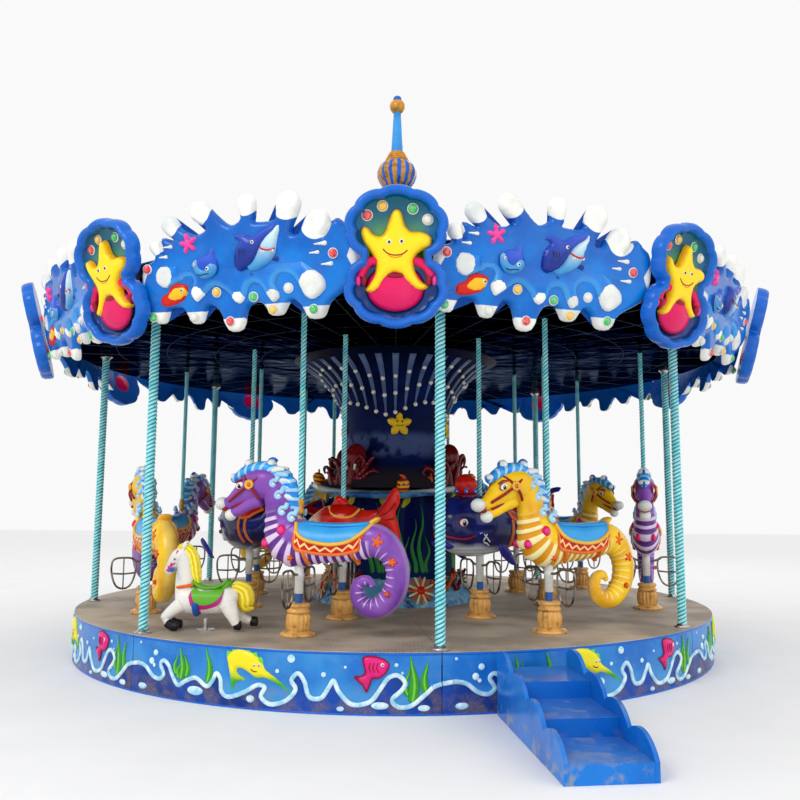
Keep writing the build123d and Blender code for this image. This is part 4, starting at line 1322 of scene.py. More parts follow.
def make_seahorse(hide):
    b = Build()
    b.limb(TORSO, hide, count=28, steps=9, groove=groove)
    head = mm((
        (205, 1075, 108, 80), (280, 1100, 122, 98), (350, 1090, 122, 98), (430, 1045, 104, 84),
        (500, 1000, 74, 64), (560, 962, 52, 48), (600, 945, 44, 44),
    ))
    b.limb(head, HIDE_PLAIN[hide], count=24, steps=5)
    jaw = mm(((330, 990, 66, 62), (420, 945, 52, 54), (490, 902, 42, 46), (545, 878, 36, 40)))
    b.limb(jaw, HIDE_PLAIN[hide], count=20, steps=4)
    b.limb(mm(((400, 975, 30, 50), (470, 942, 26, 46), (540, 912, 18, 36))), strap_red)
    b.ball((0.64, 0.944, 0), (0.052, 0.05, 0.06), white_resin, count=24)
    b.ball((0.566, 0.862, 0), (0.046, 0.046, 0.05), white_resin, count=24)
    b.ball((0.606, 0.905, 0), (0.03, 0.02, 0.046), strap_red, count=18)

    crest = mm((
        (556, 1120, 20, 24), (510, 1150, 34, 44), (430, 1195, 44, 62), (330, 1215, 48, 66),
        (250, 1205, 52, 62), (185, 1150, 50, 56),
    ))
    b.limb(crest, mane_blue, count=20, steps=6)
    mane = mm((
        (230, 1190, 40, 40), (150, 1150, 62, 52), (95, 1070, 70, 56), (62, 980, 62, 52), (40, 900, 50, 44),
        (24, 835, 30, 30),
    ))
    b.limb(mane, mane_blue, count=20, steps=7, groove=lambda s, a: 1 + 0.08 * sin(s * 95 + 2 * cos(a)))
    fins = (
        ((250, 1165), (190, 1200), (118, 1204)), ((235, 1130), (165, 1160), (88, 1160)),
        ((215, 1090), (140, 1116), (62, 1106)), ((190, 1045), (120, 1064), (44, 1044)),
        ((165, 990), (100, 1002), (34, 978))
    )
    for i, line in enumerate(fins):
        for side in (-1, 1):
            widths = ((0.012, 0.016), (0.024, 0.02), (0.013, 0.012))
            stations = [(x / 1000, y / 1000, w, d) for (x, y), (w, d) in zip(line, widths)]
            b.limb(stations, pale_blue if i % 2 else white_resin, count=10, steps=4, lift=side * 0.04)
    for x, y, r, turn in ((0.237, 1.24, 0.046, 1), (0.421, 1.24, 0.046, -1), (0.545, 1.14, 0.034, -1)):
        curl(b, x, y, 0, r, azure_resin, turn)
        b.ball((x, y + 0.008, 0), (r / 1.4, r / 1.4, 0.05), white_resin, count=18)
    for side in (-1, 1):
        for x, y, r, z in mm((
            (190, 1092, 32, 74), (146, 1006, 34, 72), (108, 890, 36, 80), (26, 846, 38, 92),
        )):
            curl(b, x, y, side * z, r, pale_blue, 1, 0.4)
            lock = [(x - 0.02, y + 0.02, side * z), (x - 0.03, y + 0.06, side * (z - 0.016))]
            b.tube(lock, 0.018, pale_blue)
        eye(b, 0.462, 1.08, 0.07, side, 0.03, -0.5)
        b.tube([
            (0.425, 1.118, side * 0.072), (0.46, 1.124, side * 0.066), (0.5, 1.1, side * 0.058),
        ], 0.007, strap_red)
        b.ball((0.612, 0.962, side * 0.03), (0.01, 0.008, 0.008), black_resin)
        hub = (0.373, 1.086, side * 0.098)
        for end in ((0.446, 1.16, 0.03), (0.262, 1.172, 0.048), (0.56, 0.962, 0.05), (0.3, 0.982, 0.078)):
            middle = [(hub[i] + end[i] * (side if i == 2 else 1)) / 2 for i in (0, 1)]
            out = side * (abs(hub[2]) + end[2] + 0.034) / 2
            b.tube([hub, (*middle, out), (end[0], end[1], side * end[2])], 0.011, strap_red)
        b.lathe([
            (0.034, 0), (0.038, 0.008), (0.03, 0.018), (0.018, 0.014), (0.016, 0.008),
        ], rim_gold, Matrix.Translation(hub) @ flipped(side), 20)
        b.ball((hub[0], hub[1], hub[2] + side * 0.006), (0.016, 0.016, 0.008), strap_orange)

        crown = [(u, 0.8 + 0.012 * cos(i)) for i, (u, v) in enumerate(SADDLE_RIM)]
        draped(b, [(u, min(v + 0.02, 0.812)) for u, v in crown], SADDLE_RIM, side, TORSO, saddle_blue, 0.012)
        draped(b, SADDLE_RIM, CLOTH_HEM, side, TORSO, saddle_cloth, 0.007)
        rim = [(u, v, side * (torso_depth(u, v, TORSO) + 0.014)) for u, v in SADDLE_RIM]
        b.tube(rim, 0.014, rim_gold, steps=6)
        hem = [(u, v, side * (torso_depth(u, v, TORSO) + 0.006)) for u, v in CLOTH_HEM]
        b.tube(hem, 0.007, strap_orange, steps=6)
        for u in (-0.07, -0.43):
            girth = [
                (u - 0.01 * i, v, side * (torso_depth(u, v, TORSO) + 0.004))
                for i, v in enumerate((0.61, 0.575, 0.545, 0.52))
            ]
            b.tube(girth, 0.015, strap_orange)
        for x, y, r in mm(((-624, 682, 62), (-735, 545, 42), (-700, 325, 26), (30, 560, 32))):
            z = 0.082 if x < -0.6 else 0.098
            starfish(b, (x, y, z), r, red_resin, 0.3, 0.012, flipped(side))
            starfish(b, (x, y, z + 0.006), r * 0.8, orange_resin, 0.3, 0.016, flipped(side))
        for x, y, r, z in mm(((103, 755, 40, 104), (243, 660, 36, 66))):
            b.ball((x, y, side * z), (r, r, 0.02), magenta_resin)
            b.ball((x, y, side * (z + 0.01)), (r / 1.6, r / 1.6, 0.016), pink_resin)

    seat = [
        (u, 0.806, w, 0.018)
        for u, w in (
            (-0.585, 0.02), (-0.54, 0.05), (-0.45, 0.075), (-0.3, 0.085), (-0.15, 0.075), (-0.05, 0.05),
            (0.0, 0.02)
        )
    ]
    rings = []
    for u, y, wide, thick in smooth(seat, 5):
        sag = 0.018 * cos((u + 0.29) / 0.29 * pi / 2)
        rings.append(
            [(u, 0.812 - sag + thick * sin(tau * j / 16), wide * cos(tau * j / 16)) for j in range(16)]
        )
    b.skin(rings, saddle_blue)
    b.limb(mm(((-560, 815, 22, 60), (-592, 838, 18, 56), (-610, 850, 10, 40))), rim_gold)
    b.limb(mm(((-8, 800, 22, 46), (6, 836, 20, 40), (2, 862, 12, 28))), rim_gold)
    return b


PURPLE_HIDE = striped_hide("hide_purple", (140, 84, 182), (112, 56, 158), (228, 206, 236), (92, 36, 132))
YELLOW_HIDE = striped_hide("hide_yellow", (250, 206, 26), (236, 170, 14), (252, 240, 176), (224, 146, 10))
HIDE_PLAIN = {
    PURPLE_HIDE: gelcoat("hide_purple_plain", (146, 86, 184), (112, 56, 158)),
    YELLOW_HIDE: gelcoat("hide_yellow_plain", (250, 206, 26), (238, 172, 14)),
}
for first, hide, slot in ((0, PURPLE_HIDE, "seahorse_purple"), (1, YELLOW_HIDE, "seahorse_yellow")):
    body = None
    for k in range(first, SECTORS, 2):
        place = riding(RIDER_ANGLE + k * 45, OUTER_AT)
        name, rider, node = f"seahorse_figure_{k + 1}", f"seahorse_rider_{k + 1}", f"seahorse_{k + 1}"
        if body is None:
            body = make_seahorse(hide).done(name, rider, slot, node, place=place).data
        else:
            show(name, body, rider, slot, node, place=place)


# ---- Fish and whales on the inner circle ----
def scaled_hide(name, colour, shade, pale):
    """Red reef fish: overlapping scales, dark along the back, pale at the face."""
    p = Paint(name, coat=(0.2, 0.06))
    cloudy = p.noise(7.0, 5.0)
    scale = p.cells(22.0, p.joined(p.x * 1.0, p.y * 1.25, p.z * 0.8))
    colour = p.mix(cloudy.between(0.35, 0.68), colour, shade)
    colour = p.mix(p.y.between(0.8, 0.98) * 0.5, colour, shade)
    face = (p.x + cloudy * 0.1).between(0.2, 0.3)
    colour = p.mix(face, colour, pale)
    colour = p.mix(scale.between(0.75, 0.95) * 0.3, colour, shade)
    return p.set(p.wear(colour, DUST, 0.25), cloudy * 0.15 + 0.12, scale * 0.6 + cloudy * 0.3, 0.35, 0.006)


def whale_hide():
    """Navy back, pale throat with fine grooves."""
    p = Paint("hide_navy", coat=(0.2, 0.06))
    cloudy = p.noise(5.0, 5.0)
    back = p.mix(cloudy.between(0.35, 0.68), (26, 36, 116), (12, 18, 72))
    low = (p.y + cloudy * 0.08 - p.x * 0.1).between(0.66, 0.6) * p.x.between(-0.25, 0.0)
    fold = (p.y * 190).wave().between(0.2, 0.9)
    throat = p.mix(fold * 0.4, (214, 222, 232), (120, 140, 180))
    return p.set(
        p.wear(p.mix(low, back, throat), DUST, 0.25), cloudy * 0.15 + 0.1, low * fold * -1.0 + cloudy * 0.3,
        0.3, 0.004
    )


fish_hide = scaled_hide("hide_red", (222, 28, 16), (150, 14, 12), (240, 196, 170))
navy_hide = whale_hide()
fin_red = gelcoat("fin_red", (226, 34, 18), (160, 12, 10), rough=0.2)
fin_navy = gelcoat("fin_navy", (54, 48, 160), (28, 26, 110), rough=0.2)
FISH_BODY = mm((
    (345, 716, 18, 16), (325, 720, 55, 52), (270, 728, 104, 90), (180, 742, 152, 118), (60, 762, 186, 128),
    (-60, 772, 178, 118), (-170, 790, 128, 88), (-260, 825, 76, 52), (-330, 850, 56, 34),
))
FISH_TAIL = mm((
    (-230, 815), (-290, 880), (-350, 950), (-400, 1030), (-455, 1085), (-490, 1050), (-497, 960), (-462, 880),
    (-478, 800), (-502, 700), (-492, 620), (-440, 640), (-380, 730), (-300, 770),
))
FISH_BACK_FIN = mm(((120, 905), (90, 960), (60, 1010), (10, 1020), (-30, 985), (-60, 930), (-20, 900)))
FISH_SIDE_FIN = mm((
    (130, 700), (90, 740), (30, 730), (-40, 690), (-90, 640), (-50, 628), (10, 640), (80, 660),
))


def slab(b, outline, height, edge, material, grid, place=None, thick=0.0):
    """The same relief on both faces of a fin."""
    place = place or Matrix.Identity(4)
    for side in (-1, 1):
        puff(b, outline, height, edge, material, grid, place=place @ flipped(side), base=thick)


def make_fish():
    b = Build()
    b.limb(FISH_BODY, fish_hide, count=32, steps=7)
    tail = closed(FISH_TAIL, 4)
    slab(b, tail, 0.034, 0.07, fin_red, 0.022)
    for line in (
        ((-290, 840), (-380, 950), (-450, 1050)), ((-300, 830), (-400, 880), (-470, 960)),
        ((-300, 815), (-400, 770), (-470, 660)), ((-310, 822), (-400, 820), (-455, 830))
    ):
        for side in (-1, 1):
            b.tube([(x / 1000, y / 1000, side * 0.03) for x, y in line], 0.008, strap_red)
    slab(b, closed(FISH_BACK_FIN, 4), 0.04, 0.05, fin_red, 0.018)
    for side in (-1, 1):
        lifted = Matrix.Translation((0, 0, side * 0.11)) @ flipped(side)
        puff(b, closed(FISH_SIDE_FIN, 4), 0.026, 0.03, orange_resin, 0.016, place=lifted)
        for i in range(4):
            y = 0.715 - i * 0.018
            b.tube([
                (0.085, y, side * 0.136), (0.0, y - 0.018, side * 0.138), (-0.055, y - 0.042, side * 0.128),
            ], 0.004, red_resin)
        eye(b, 0.235, 0.772, 0.092, side, 0.034)
        b.tube([
            (0.318, 0.672, side * 0.04), (0.285, 0.664, side * 0.062), (0.25, 0.676, side * 0.082),
        ], 0.01, crimson_resin)
        rim = [
            (x, y, side * z)
            for x, y, z in (
                (0.105, 0.925, 0.05), (0.07, 0.865, 0.098), (-0.02, 0.835, 0.11), (-0.11, 0.845, 0.098),
                (-0.16, 0.905, 0.04)
            )
        ]
        b.tube(rim, 0.01, rim_gold)
    b.limb(mm(((330, 700, 18, 44), (346, 706, 20, 40), (356, 716, 12, 28))), magenta_resin)
    return b


WHALE_BODY = mm((
    (432, 760, 24, 26), (412, 762, 110, 104), (350, 768, 190, 172), (250, 772, 242, 214),
    (110, 772, 262, 236), (-40, 768, 250, 228), (-190, 752, 210, 192), (-330, 744, 150, 136),
    (-450, 778, 96, 84), (-540, 850, 68, 54), (-596, 930, 54, 46), (-620, 1000, 40, 40),
))
WHALE_FLUKE = mm(((0, -40), (60, -10), (140, 40), (230, 60), (205, 110), (120, 130), (40, 100), (0, 70)))
WHALE_FIN = mm(((80, 640), (40, 650), (-30, 610), (-90, 540), (-130, 470), (-90, 468), (-20, 510), (50, 570)))
WHALE_RIM = mm(((-150, 1000), (-180, 900), (-215, 840), (-270, 815), (-330, 825), (-375, 858), (-398, 892)))


def make_whale():
    b = Build()
    b.limb(WHALE_BODY, navy_hide, count=36, steps=7)
    b.limb(mm(((425, 640, 30, 90), (398, 618, 34, 120), (350, 600, 26, 140))), fin_navy, count=20)
    b.tube([(0.418, 0.7, -0.06), (0.43, 0.69, 0.0), (0.418, 0.7, 0.06)], 0.012, crimson_resin)
    for side in (-1, 1):
        smile = [
            (0.405, 0.69, side * 0.08), (0.35, 0.672, side * 0.15), (0.27, 0.668, side * 0.2),
            (0.2, 0.69, side * 0.224)
        ]
        b.tube(smile, 0.01, crimson_resin)
        eye(b, 0.285, 0.8, 0.19, side, 0.04)
        for line in (
            ((-60, 700), (-95, 660), (-130, 620)), ((-115, 712), (-90, 665), (-62, 630)),
            ((-30, 690), (-60, 700), (-84, 720)), ((-70, 618), (-96, 610), (-118, 590))
        ):
            mark = [(x + 0.18, y + 0.02, side * (0.222 + 0.002 * i)) for i, (x, y) in enumerate(mm(line))]
            b.tube(mark, 0.006, white_resin)
        tilt = Matrix.Rotation(side * 0.35, 4, "X")
        lifted = Matrix.Translation((0.02, 0.02, side * 0.2)) @ tilt @ flipped(side)
        puff(b, closed(WHALE_FIN, 4), 0.03, 0.035, fin_navy, 0.018, place=lifted)
        lying = axes(
            Vector((-0.64, 1.01, 0)), Vector((0, 0.12, side)).normalized(), Vector((-0.8, 0.6, 0)),
            Vector((0.6, 0.8, 0))
        )
        slab(b, closed(WHALE_FLUKE, 4), 0.02, 0.05, fin_navy, 0.02, place=lying)
        draped(
            b, mm(((-150, 1000), (-200, 985), (-280, 950), (-350, 915), (-398, 892))), WHALE_RIM, side,
            WHALE_SIDE, red_resin, 0.01
        )
        b.tube(
            [(u, v, side * (torso_depth(u, v, WHALE_SIDE) + 0.012)) for u, v in WHALE_RIM], 0.013,
            strap_orange, steps=6
        )
        for u in (-0.22, -0.3):
            girth = [
                (u, v, side * (torso_depth(u, v, WHALE_SIDE) + 0.004)) for v in (0.82, 0.76, 0.7, 0.64, 0.6)
            ]
            b.tube(girth, 0.014, strap_orange)
    collar = Matrix.Translation((0.139, 1.0, 0)) @ Matrix.Rotation(-pi / 2, 4, "X")
    profile = [(0.1, 0), (0.088, 0.03), (0.06, 0.055)]
    b.lathe(profile, crimson_resin, collar, 28, lambda a, i: 1 + 0.08 * cos(8 * a))
    b.ball((0.139, 1.11, 0), (0.098, 0.098, 0.098), red_resin, count=28, rings=14)
    for i in range(6):
        a = tau * i / 6
        curl(b, 0.139 + 0.092 * cos(a), 1.058, 0.092 * sin(a), 0.022, azure_resin, 1, 0.4)
    return b


WHALE_SIDE = list(reversed(WHALE_BODY))
figures = {}
for k in range(SECTORS):
    place = riding(RIDER_ANGLE + k * 45, INNER_AT)
    kind, make, slot = ("whale", make_whale, "whale_navy") if k % 2 else ("fish", make_fish, "fish_red")
    name, args = f"{kind}_figure_{k + 1}", (f"{kind}_{k + 1}", slot, f"{kind}_rider_{k + 1}")
    if kind in figures:
        show(name, figures[kind], *args, place=place)
    else:
        figures[kind] = make().done(name, *args, place=place).data


# ---- Toddler horse ----
def strand_paint(name, low_tone, high_tone, rate):
    """Moulded hair: strands run along the form."""
    p = Paint(name, coat=(0.13, 0.12))
    s, c = p.carried("laid")[:2]
    strand = (c * rate + p.noise(9.0) * 5 + s * 7).wave().between(-0.5, 0.7)
    return p.set(p.mix(strand, low_tone, high_tone), p.noise(40.0) * 0.15 + 0.18, strand, 0.5, 0.004)


toddler_white = gelcoat("toddler_white", (244, 242, 236), (222, 218, 208))
hair_yellow = strand_paint("hair_yellow", (236, 196, 6), (252, 246, 90), 9.0)
leaf_green = gelcoat("leaf_green", (112, 190, 50), (72, 158, 36))
cloth_magenta = gelcoat("cloth_magenta", (206, 44, 140), (168, 22, 108))
girth_blue = gelcoat("girth_blue", (28, 100, 196), (18, 72, 160))
POST_LOW, POST_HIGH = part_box("toddler_post")
POST_SPOT = ((POST_LOW[0] + POST_HIGH[0]) / 2, (POST_LOW[1] + POST_HIGH[1]) / 2)
BARREL = mm((
    (218, 232, 66, 64), (180, 228, 96, 86), (100, 222, 104, 98), (0, 220, 98, 100), (-90, 222, 98, 98),
    (-170, 236, 96, 92), (-225, 244, 64, 62), (-245, 244, 24, 28),
))


def make_toddler_horse():
    """White foal lying on its post. Local x is its heading, y up from the deck."""
    b = Build()
    b.limb(BARREL, toddler_white, count=28, steps=6)
    b.limb(mm((
        (150, 250, 86, 70), (165, 350, 72, 56), (172, 440, 60, 48), (180, 530, 52, 44), (196, 580, 44, 40),
    )), toddler_white, count=24, steps=6)
    b.limb(mm((
        (168, 560, 48, 40), (210, 552, 58, 48), (246, 510, 50, 42), (276, 462, 38, 34), (296, 430, 32, 30),
        (304, 418, 20, 20),
    )), toddler_white, count=24, steps=6)
    for side in (-1, 1):
        z = side * 0.058
        b.limb(mm((
            (168, 200, 58, 44), (225, 160, 46, 38), (284, 112, 34, 30), (292, 92, 28, 26),
        )), toddler_white, count=18, lift=z)
        b.limb(mm(((288, 108, 30, 26), (268, 60, 26, 24), (236, 44, 24, 22))), toddler_white, lift=z)
        b.limb(mm((
            (276, 64, 33, 30), (236, 40, 36, 32), (196, 38, 32, 30), (188, 38, 20, 20),
        )), black_resin, lift=z)
        b.limb(mm((
            (-176, 210, 70, 48), (-208, 140, 54, 40), (-232, 84, 38, 32), (-246, 54, 32, 28),
        )), toddler_white, count=18, lift=z + side * 0.02 if side < 0 else z)
        hoof = ((-232, 50), (-272, 46), (-284, 46)) if side < 0 else ((-330, 60), (-372, 56), (-384, 56))
        sole = [(x, y, *wide) for (x, y), wide in zip(hoof, ((36, 34), (36, 34), (20, 20)))]
        b.limb(mm(sole), black_resin, lift=z * 1.2)
        if side > 0:
            b.limb(mm(((-220, 120, 44, 34), (-280, 82, 34, 28), (-330, 62, 30, 26))), toddler_white, lift=z)
        b.limb(mm((
            (178, 610, 12, 10), (168, 635, 18, 12), (160, 660, 6, 5),
        )), toddler_white, count=12, lift=side * 0.028)
        eye(b, 0.236, 0.53, 0.041, side, 0.013, -0.6)
        for ends in (
            ((262, 500), (282, 430)), ((288, 476), (262, 440)), ((216, 592), (236, 548)),
            ((236, 500), (300, 440))
        ):
            b.tube(
                [(x / 1000, y / 1000, side * w) for (x, y), w in zip(ends, (0.043, 0.036))], 0.006,
                pink_resin
            )
        rim = ((96, 300), (70, 226), (20, 196), (-60, 206), (-120, 250), (-160, 330))
        hem = ((112, 262), (84, 176), (20, 160), (-66, 176), (-128, 212), (-150, 300))
        seat = ((70, 322), (40, 300), (0, 296), (-60, 300), (-110, 318), (-165, 342))
        draped_on(b, seat, rim, side, leaf_green, 0.012)
        draped_on(b, rim, hem, side, cloth_magenta, 0.007)
        b.tube(
            [(0.06, v, side * (barrel_depth(v) + 0.006)) for v in (0.21, 0.18, 0.15, 0.128)], 0.026,
            girth_blue
        )
        b.tube(
            [(0.03, v, side * (barrel_depth(v) + 0.008)) for v in (0.2, 0.18, 0.15, 0.128)], 0.006,
            cloth_magenta
        )
        b.tube([
            (0.226, 0.318, 0.0), (0.198, 0.32, side * 0.048), (0.14, 0.33, side * 0.066),
            (0.086, 0.34, side * 0.05),
        ], 0.013, orange_resin)
    b.limb(
        mm((
            (186, 622, 26, 24), (140, 600, 36, 30), (104, 540, 42, 32), (90, 470, 44, 32), (80, 400, 40, 30),
            (66, 345, 24, 20),
        )),
        hair_yellow, count=20, steps=7, groove=lambda s, a: 1 + 0.06 * sin(s * 120 + 2 * cos(a))
    )
    b.limb(mm(((222, 585, 14, 22), (206, 614, 22, 28), (180, 628, 20, 24))), hair_yellow, count=14)
    b.limb(
        mm((
            (-196, 318, 26, 26), (-236, 322, 42, 38), (-290, 290, 56, 44), (-306, 230, 60, 44),
            (-300, 180, 52, 38), (-330, 164, 26, 24), (-362, 168, 10, 10),
        )),
        hair_yellow, count=22, steps=6, groove=lambda s, a: 1 + 0.05 * sin(6 * a + s * 20)
    )
    b.limb(mm(((96, 318, 22, 60), (110, 338, 18, 46), (104, 350, 10, 30))), leaf_green)
    b.limb(mm(((-140, 320, 16, 76), (-172, 348, 18, 66), (-190, 364, 10, 40))), leaf_green)
    seat_rings = []
    for u, wide in ((0.1, 0.05), (0.06, 0.07), (0.0, 0.078), (-0.08, 0.078), (-0.14, 0.07), (-0.17, 0.05)):
        dip = 0.312 + 0.35 * (u + 0.03) ** 2 * 8
        spots = [tau * j / 16 for j in range(16)]
        seat_rings.append([(u, dip + 0.018 * sin(a), wide * cos(a)) for a in spots])
    b.skin(seat_rings, leaf_green)
    b.tube([(0.235, 0.455, -0.13), (0.235, 0.455, 0.0), (0.235, 0.455, 0.13)], 0.012, bright_rod, count=12)
    for side in (-1, 1):
        b.tube([(0.235, 0.455, side * 0.08), (0.235, 0.455, side * 0.134)], 0.017, azure_resin, count=12)
    return b


def barrel_depth(v):
    """How far out the foal's side is at a height."""
    share = min(abs(v - 0.222) / 0.1, 1.0)
    return 0.099 * sqrt(1 - share * share)


def draped_on(b, upper, lower, side, material, lift):
    """Sheet on the foal's side."""
    rings = []
    top, hem = smooth(mm(upper), 4), smooth(mm(lower), 4)
    for i in range(6):
        t = i / 5
        spots = [(ax + (bx - ax) * t, ay + (by - ay) * t) for (ax, ay), (bx, by) in zip(top, hem)]
        rings.append([(u, v, side * (barrel_depth(v) + lift)) for u, v in spots])
    b.skin(rings, material, around=False)


foal_place = axes(Vector((*POST_SPOT, DECK_Z)), Vector((-1, 0, 0)), Vector((0, 0, 1)), Vector((0, 1, 0)))
make_toddler_horse().done("toddler_foal", "rotor", "toddler_white", "toddler_horse", place=foal_place)


# ---- Deck edge: one panel of sea life, drawn flat and bent round the rim ----
PANEL_RUN = DECK_R * tau / SECTORS
SKIRT_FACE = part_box("skirt_panels")[1][0] + 0.0005
WAVE = mm((
    (0, 200), (80, 212), (160, 198), (238, 142), (312, 128), (352, 165), (318, 225), (350, 256), (400, 225),
    (442, 156), (493, 104), (560, 140), (650, 168), (740, 122), (789, 164), (818, 214), (852, 178),
    (863, 100), (924, 70), (1039, 111), (1130, 160), (1187, 150), (1160, 90), (1230, 46), (1340, 78),
    (1402, 150), (1372, 205), (1417, 252), (1461, 200), (1495, 108), (1574, 104), (1628, 180), (1657, 214),
    (1691, 146), (1775, 70), (1891, 88), (1956, 165), (2010, 238), (2071, 254), (2119, 208), (2095, 160),
    (2035, 104), (2075, 58), (2158, 66), (2246, 132), (2300, 180), (2356, 200),
))
BUBBLES = mm((
    (95, 355, 11), (263, 300, 22), (224, 240, 24), (250, 214, 14), (1367, 342, 27), (1271, 258, 14),
    (1588, 250, 17), (2061, 318, 13), (2100, 268, 10), (1730, 300, 10),
))
PEBBLES = mm((
    (131, 58, 45, 22), (643, 84, 68, 30), (1082, 70, 30, 24), (1956, 64, 58, 24), (1700, 40, 26, 16),
    (2240, 50, 40, 20),
))
SWORDFISH = mm((
    (905, 290), (898, 330), (930, 362), (985, 382), (1060, 372), (1120, 345), (1165, 300), (1190, 258),
    (1270, 208), (1372, 128), (1280, 170), (1185, 210), (1120, 206), (1060, 240), (1005, 262), (975, 252),
    (985, 222), (1040, 190), (975, 170), (940, 110), (930, 180), (918, 235),
))
SWORD_FINS = mm((
    (905, 300), (892, 345), (900, 366), (930, 362), (940, 384), (975, 372), (1000, 388), (1030, 372),
    (1062, 384), (1082, 362), (1120, 368), (1128, 340), (1160, 336), (1160, 290), (1060, 310), (960, 310),
))
PINK_FISH = mm((
    (1850, 318), (1846, 360), (1880, 372), (1930, 368), (1985, 350), (2014, 318), (1992, 270), (1950, 238),
    (1905, 232), (1888, 190), (1868, 150), (1846, 190), (1790, 240), (1830, 245), (1862, 268),
))


def weed_blade(b, material, x, low, high, sway, wide):
    """Waving blade of seaweed."""
    stations = []
    for i in range(6):
        t = i / 5
        stations.append((
            x + sway * sin(t * 4.2), low + (high - low) * t,
            wide * (0.45 + 0.8 * sin(pi * min(t * 0.8 + 0.15, 1))) * (1.02 - t * 0.8), 0.008,
        ))
    b.limb(stations, material, count=12, steps=4)


def bend(build):
    """Wraps a flat drawing round the deck: x along the rim, y up, z outward."""
    for vert in build.mesh.verts:
        x, y, z = vert.co
        out = outward(SEAM_ANGLE - 45 + x / DECK_R * 180 / pi)
        vert.co = out * (SKIRT_FACE + z) + Vector((0, 0, y))


def foam_paint():
    p = Paint("foam_white", coat=(0.1, 0.15))
    cloudy = p.noise(16.0, 5.0).between(0.38, 0.66)
    colour = p.mix(cloudy, (224, 244, 248), (150, 208, 232))
    return p.set(p.wear(colour, DUST, 0.35), cloudy * 0.15 + 0.25, p.noise(60.0), 0.2, 0.002)


def deep_water():
    """Deep blue lower field, stained by soil splashed off the ground."""
    p = Paint("deep_water", coat=(0.084, 0.2))
    cloudy = p.noise(2.6, 5.0).between(0.35, 0.68)
    soil = p.noise(9.0, 8.0).between(0.4, 0.66) * p.z.between(0.26, 0.03)
    speck = p.noise(70.0, 4.0).between(0.45, 0.6)
    base = p.mix(cloudy, (14, 72, 168), (8, 46, 122))
    return p.set(
        p.mix(soil * (speck * 0.5 + 0.4), base, (122, 102, 92)), cloudy * 0.15 + 0.26, p.noise(40.0), 0.2,
        0.002
    )


def weed_paint():
    p = Paint("weed_green", coat=(0.13, 0.12))
    c = p.carried("laid")[1]
    vein = (c.size().between(0.35, 0.05) + p.noise(30.0) * 0.4).both(1.0)
    return p.set(
        p.mix(vein * 0.8, (24, 132, 30), (126, 222, 60)), p.noise(40.0) * 0.15 + 0.2, vein, 0.3, 0.002
    )


def sword_paint():
    """Yellow back and head that turn green towards the tail and the sword."""
    p = Paint("sword_yellow", coat=(0.15, 0.12))
    share = (p.z + p.noise(14.0) * 0.04 - 0.02).between(0.17, 0.25)
    return p.set(
        p.mix(share, (60, 176, 40), (240, 226, 30)), p.noise(20.0) * 0.15 + 0.16, p.noise(30.0), 0.15, 0.002
    )


foam_white, weed_green, sword_yellow = foam_paint(), weed_paint(), sword_paint()
fish_pink = gelcoat("fish_pink", (238, 30, 130), (196, 10, 96))


def make_skirt():
    b = Build()
    left, right, steps = 0.002, PANEL_RUN - 0.002, 24
    line = [(min(max(x, left), right), y) for x, y in smooth(WAVE, 4)]
    foot = [(right - (right - left) * i / steps, 0.012) for i in range(steps)] + [(left, 0.012)]
    puff(b, line + foot, 0.0012, 0.01, deep_water(), 0.07)
    flat = Matrix.Diagonal((1, 1, 0.6, 1))
    b.tube([(x, y, 0.006) for x, y in WAVE[1:-1]], 0.0155, foam_white, flat, count=10, steps=5)
    for start, end in ((0, 1), (-2, -1)):
        b.tube(
            [(min(max(x, 0.003), PANEL_RUN - 0.003), y, 0.006) for x, y in (WAVE[start], WAVE[end])],
            0.0155, foam_white, flat, count=10
        )
    for x, y, r in BUBBLES:
        b.ball((x, y, 0.002), (r, r, r * 0.5), foam_white)
    for x, y, wide, high in PEBBLES:
        b.ball((x, y, 0.001), (wide, high, 0.012), foam_white)
    for x, low, high, sway, wide in (
        (0.515, 0.15, 0.352, 0.012, 0.031), (0.47, 0.18, 0.3, -0.016, 0.023),
        (0.56, 0.17, 0.305, 0.014, 0.025), (0.5, 0.155, 0.255, -0.02, 0.019),
        (0.745, 0.15, 0.368, 0.016, 0.029), (2.165, 0.09, 0.368, 0.014, 0.037),
        (2.255, 0.15, 0.335, -0.014, 0.029), (2.135, 0.13, 0.29, -0.016, 0.022),
    ):
        weed_blade(b, weed_green, x, low, high, sway, wide)
    puff(b, closed(SWORD_FINS, 3), 0.008, 0.02, weed_green, 0.022)
    puff(b, closed(SWORDFISH, 4), 0.02, 0.03, sword_yellow, 0.016)
    for x in (1.115, 1.148):
        b.ball((x, 0.29, 0.018), (0.01, 0.012, 0.006), white_resin)
        b.ball((x, 0.288, 0.022), (0.005, 0.006, 0.004), black_resin)
    b.tube(mm(((1090, 262, 20), (1110, 250, 20), (1135, 250, 19))), 0.004, crimson_resin)
    puff(b, closed(PINK_FISH, 4), 0.02, 0.03, fish_pink, 0.016)
    b.tube([(x, y, 0.004) for x, y in PINK_FISH], 0.005, crimson_resin, closed=True, steps=4)
    b.ball((1.972, 0.322, 0.02), (0.012, 0.012, 0.006), white_resin)
    b.ball((1.974, 0.322, 0.024), (0.006, 0.006, 0.004), black_resin)
    for i in range(3):
        b.tube([
            (1.895 + i * 0.025, 0.335, 0.021), (1.885 + i * 0.025, 0.305, 0.022),
            (1.898 + i * 0.025, 0.275, 0.02),
        ], 0.003, crimson_resin)
    for low, high in ((0.0, 0.012), (0.378, 0.392)):
        band = [
            [
                (PANEL_RUN * i / 40 * 0.998 + 0.002, y, 0.002 if 0 < j < 3 else 0)
                for j, y in enumerate((low, low + 0.003, high - 0.003, high))
            ]
            for i in range(41)
        ]
        b.skin(band, azure_resin, around=False)
    bend(b)
    return b


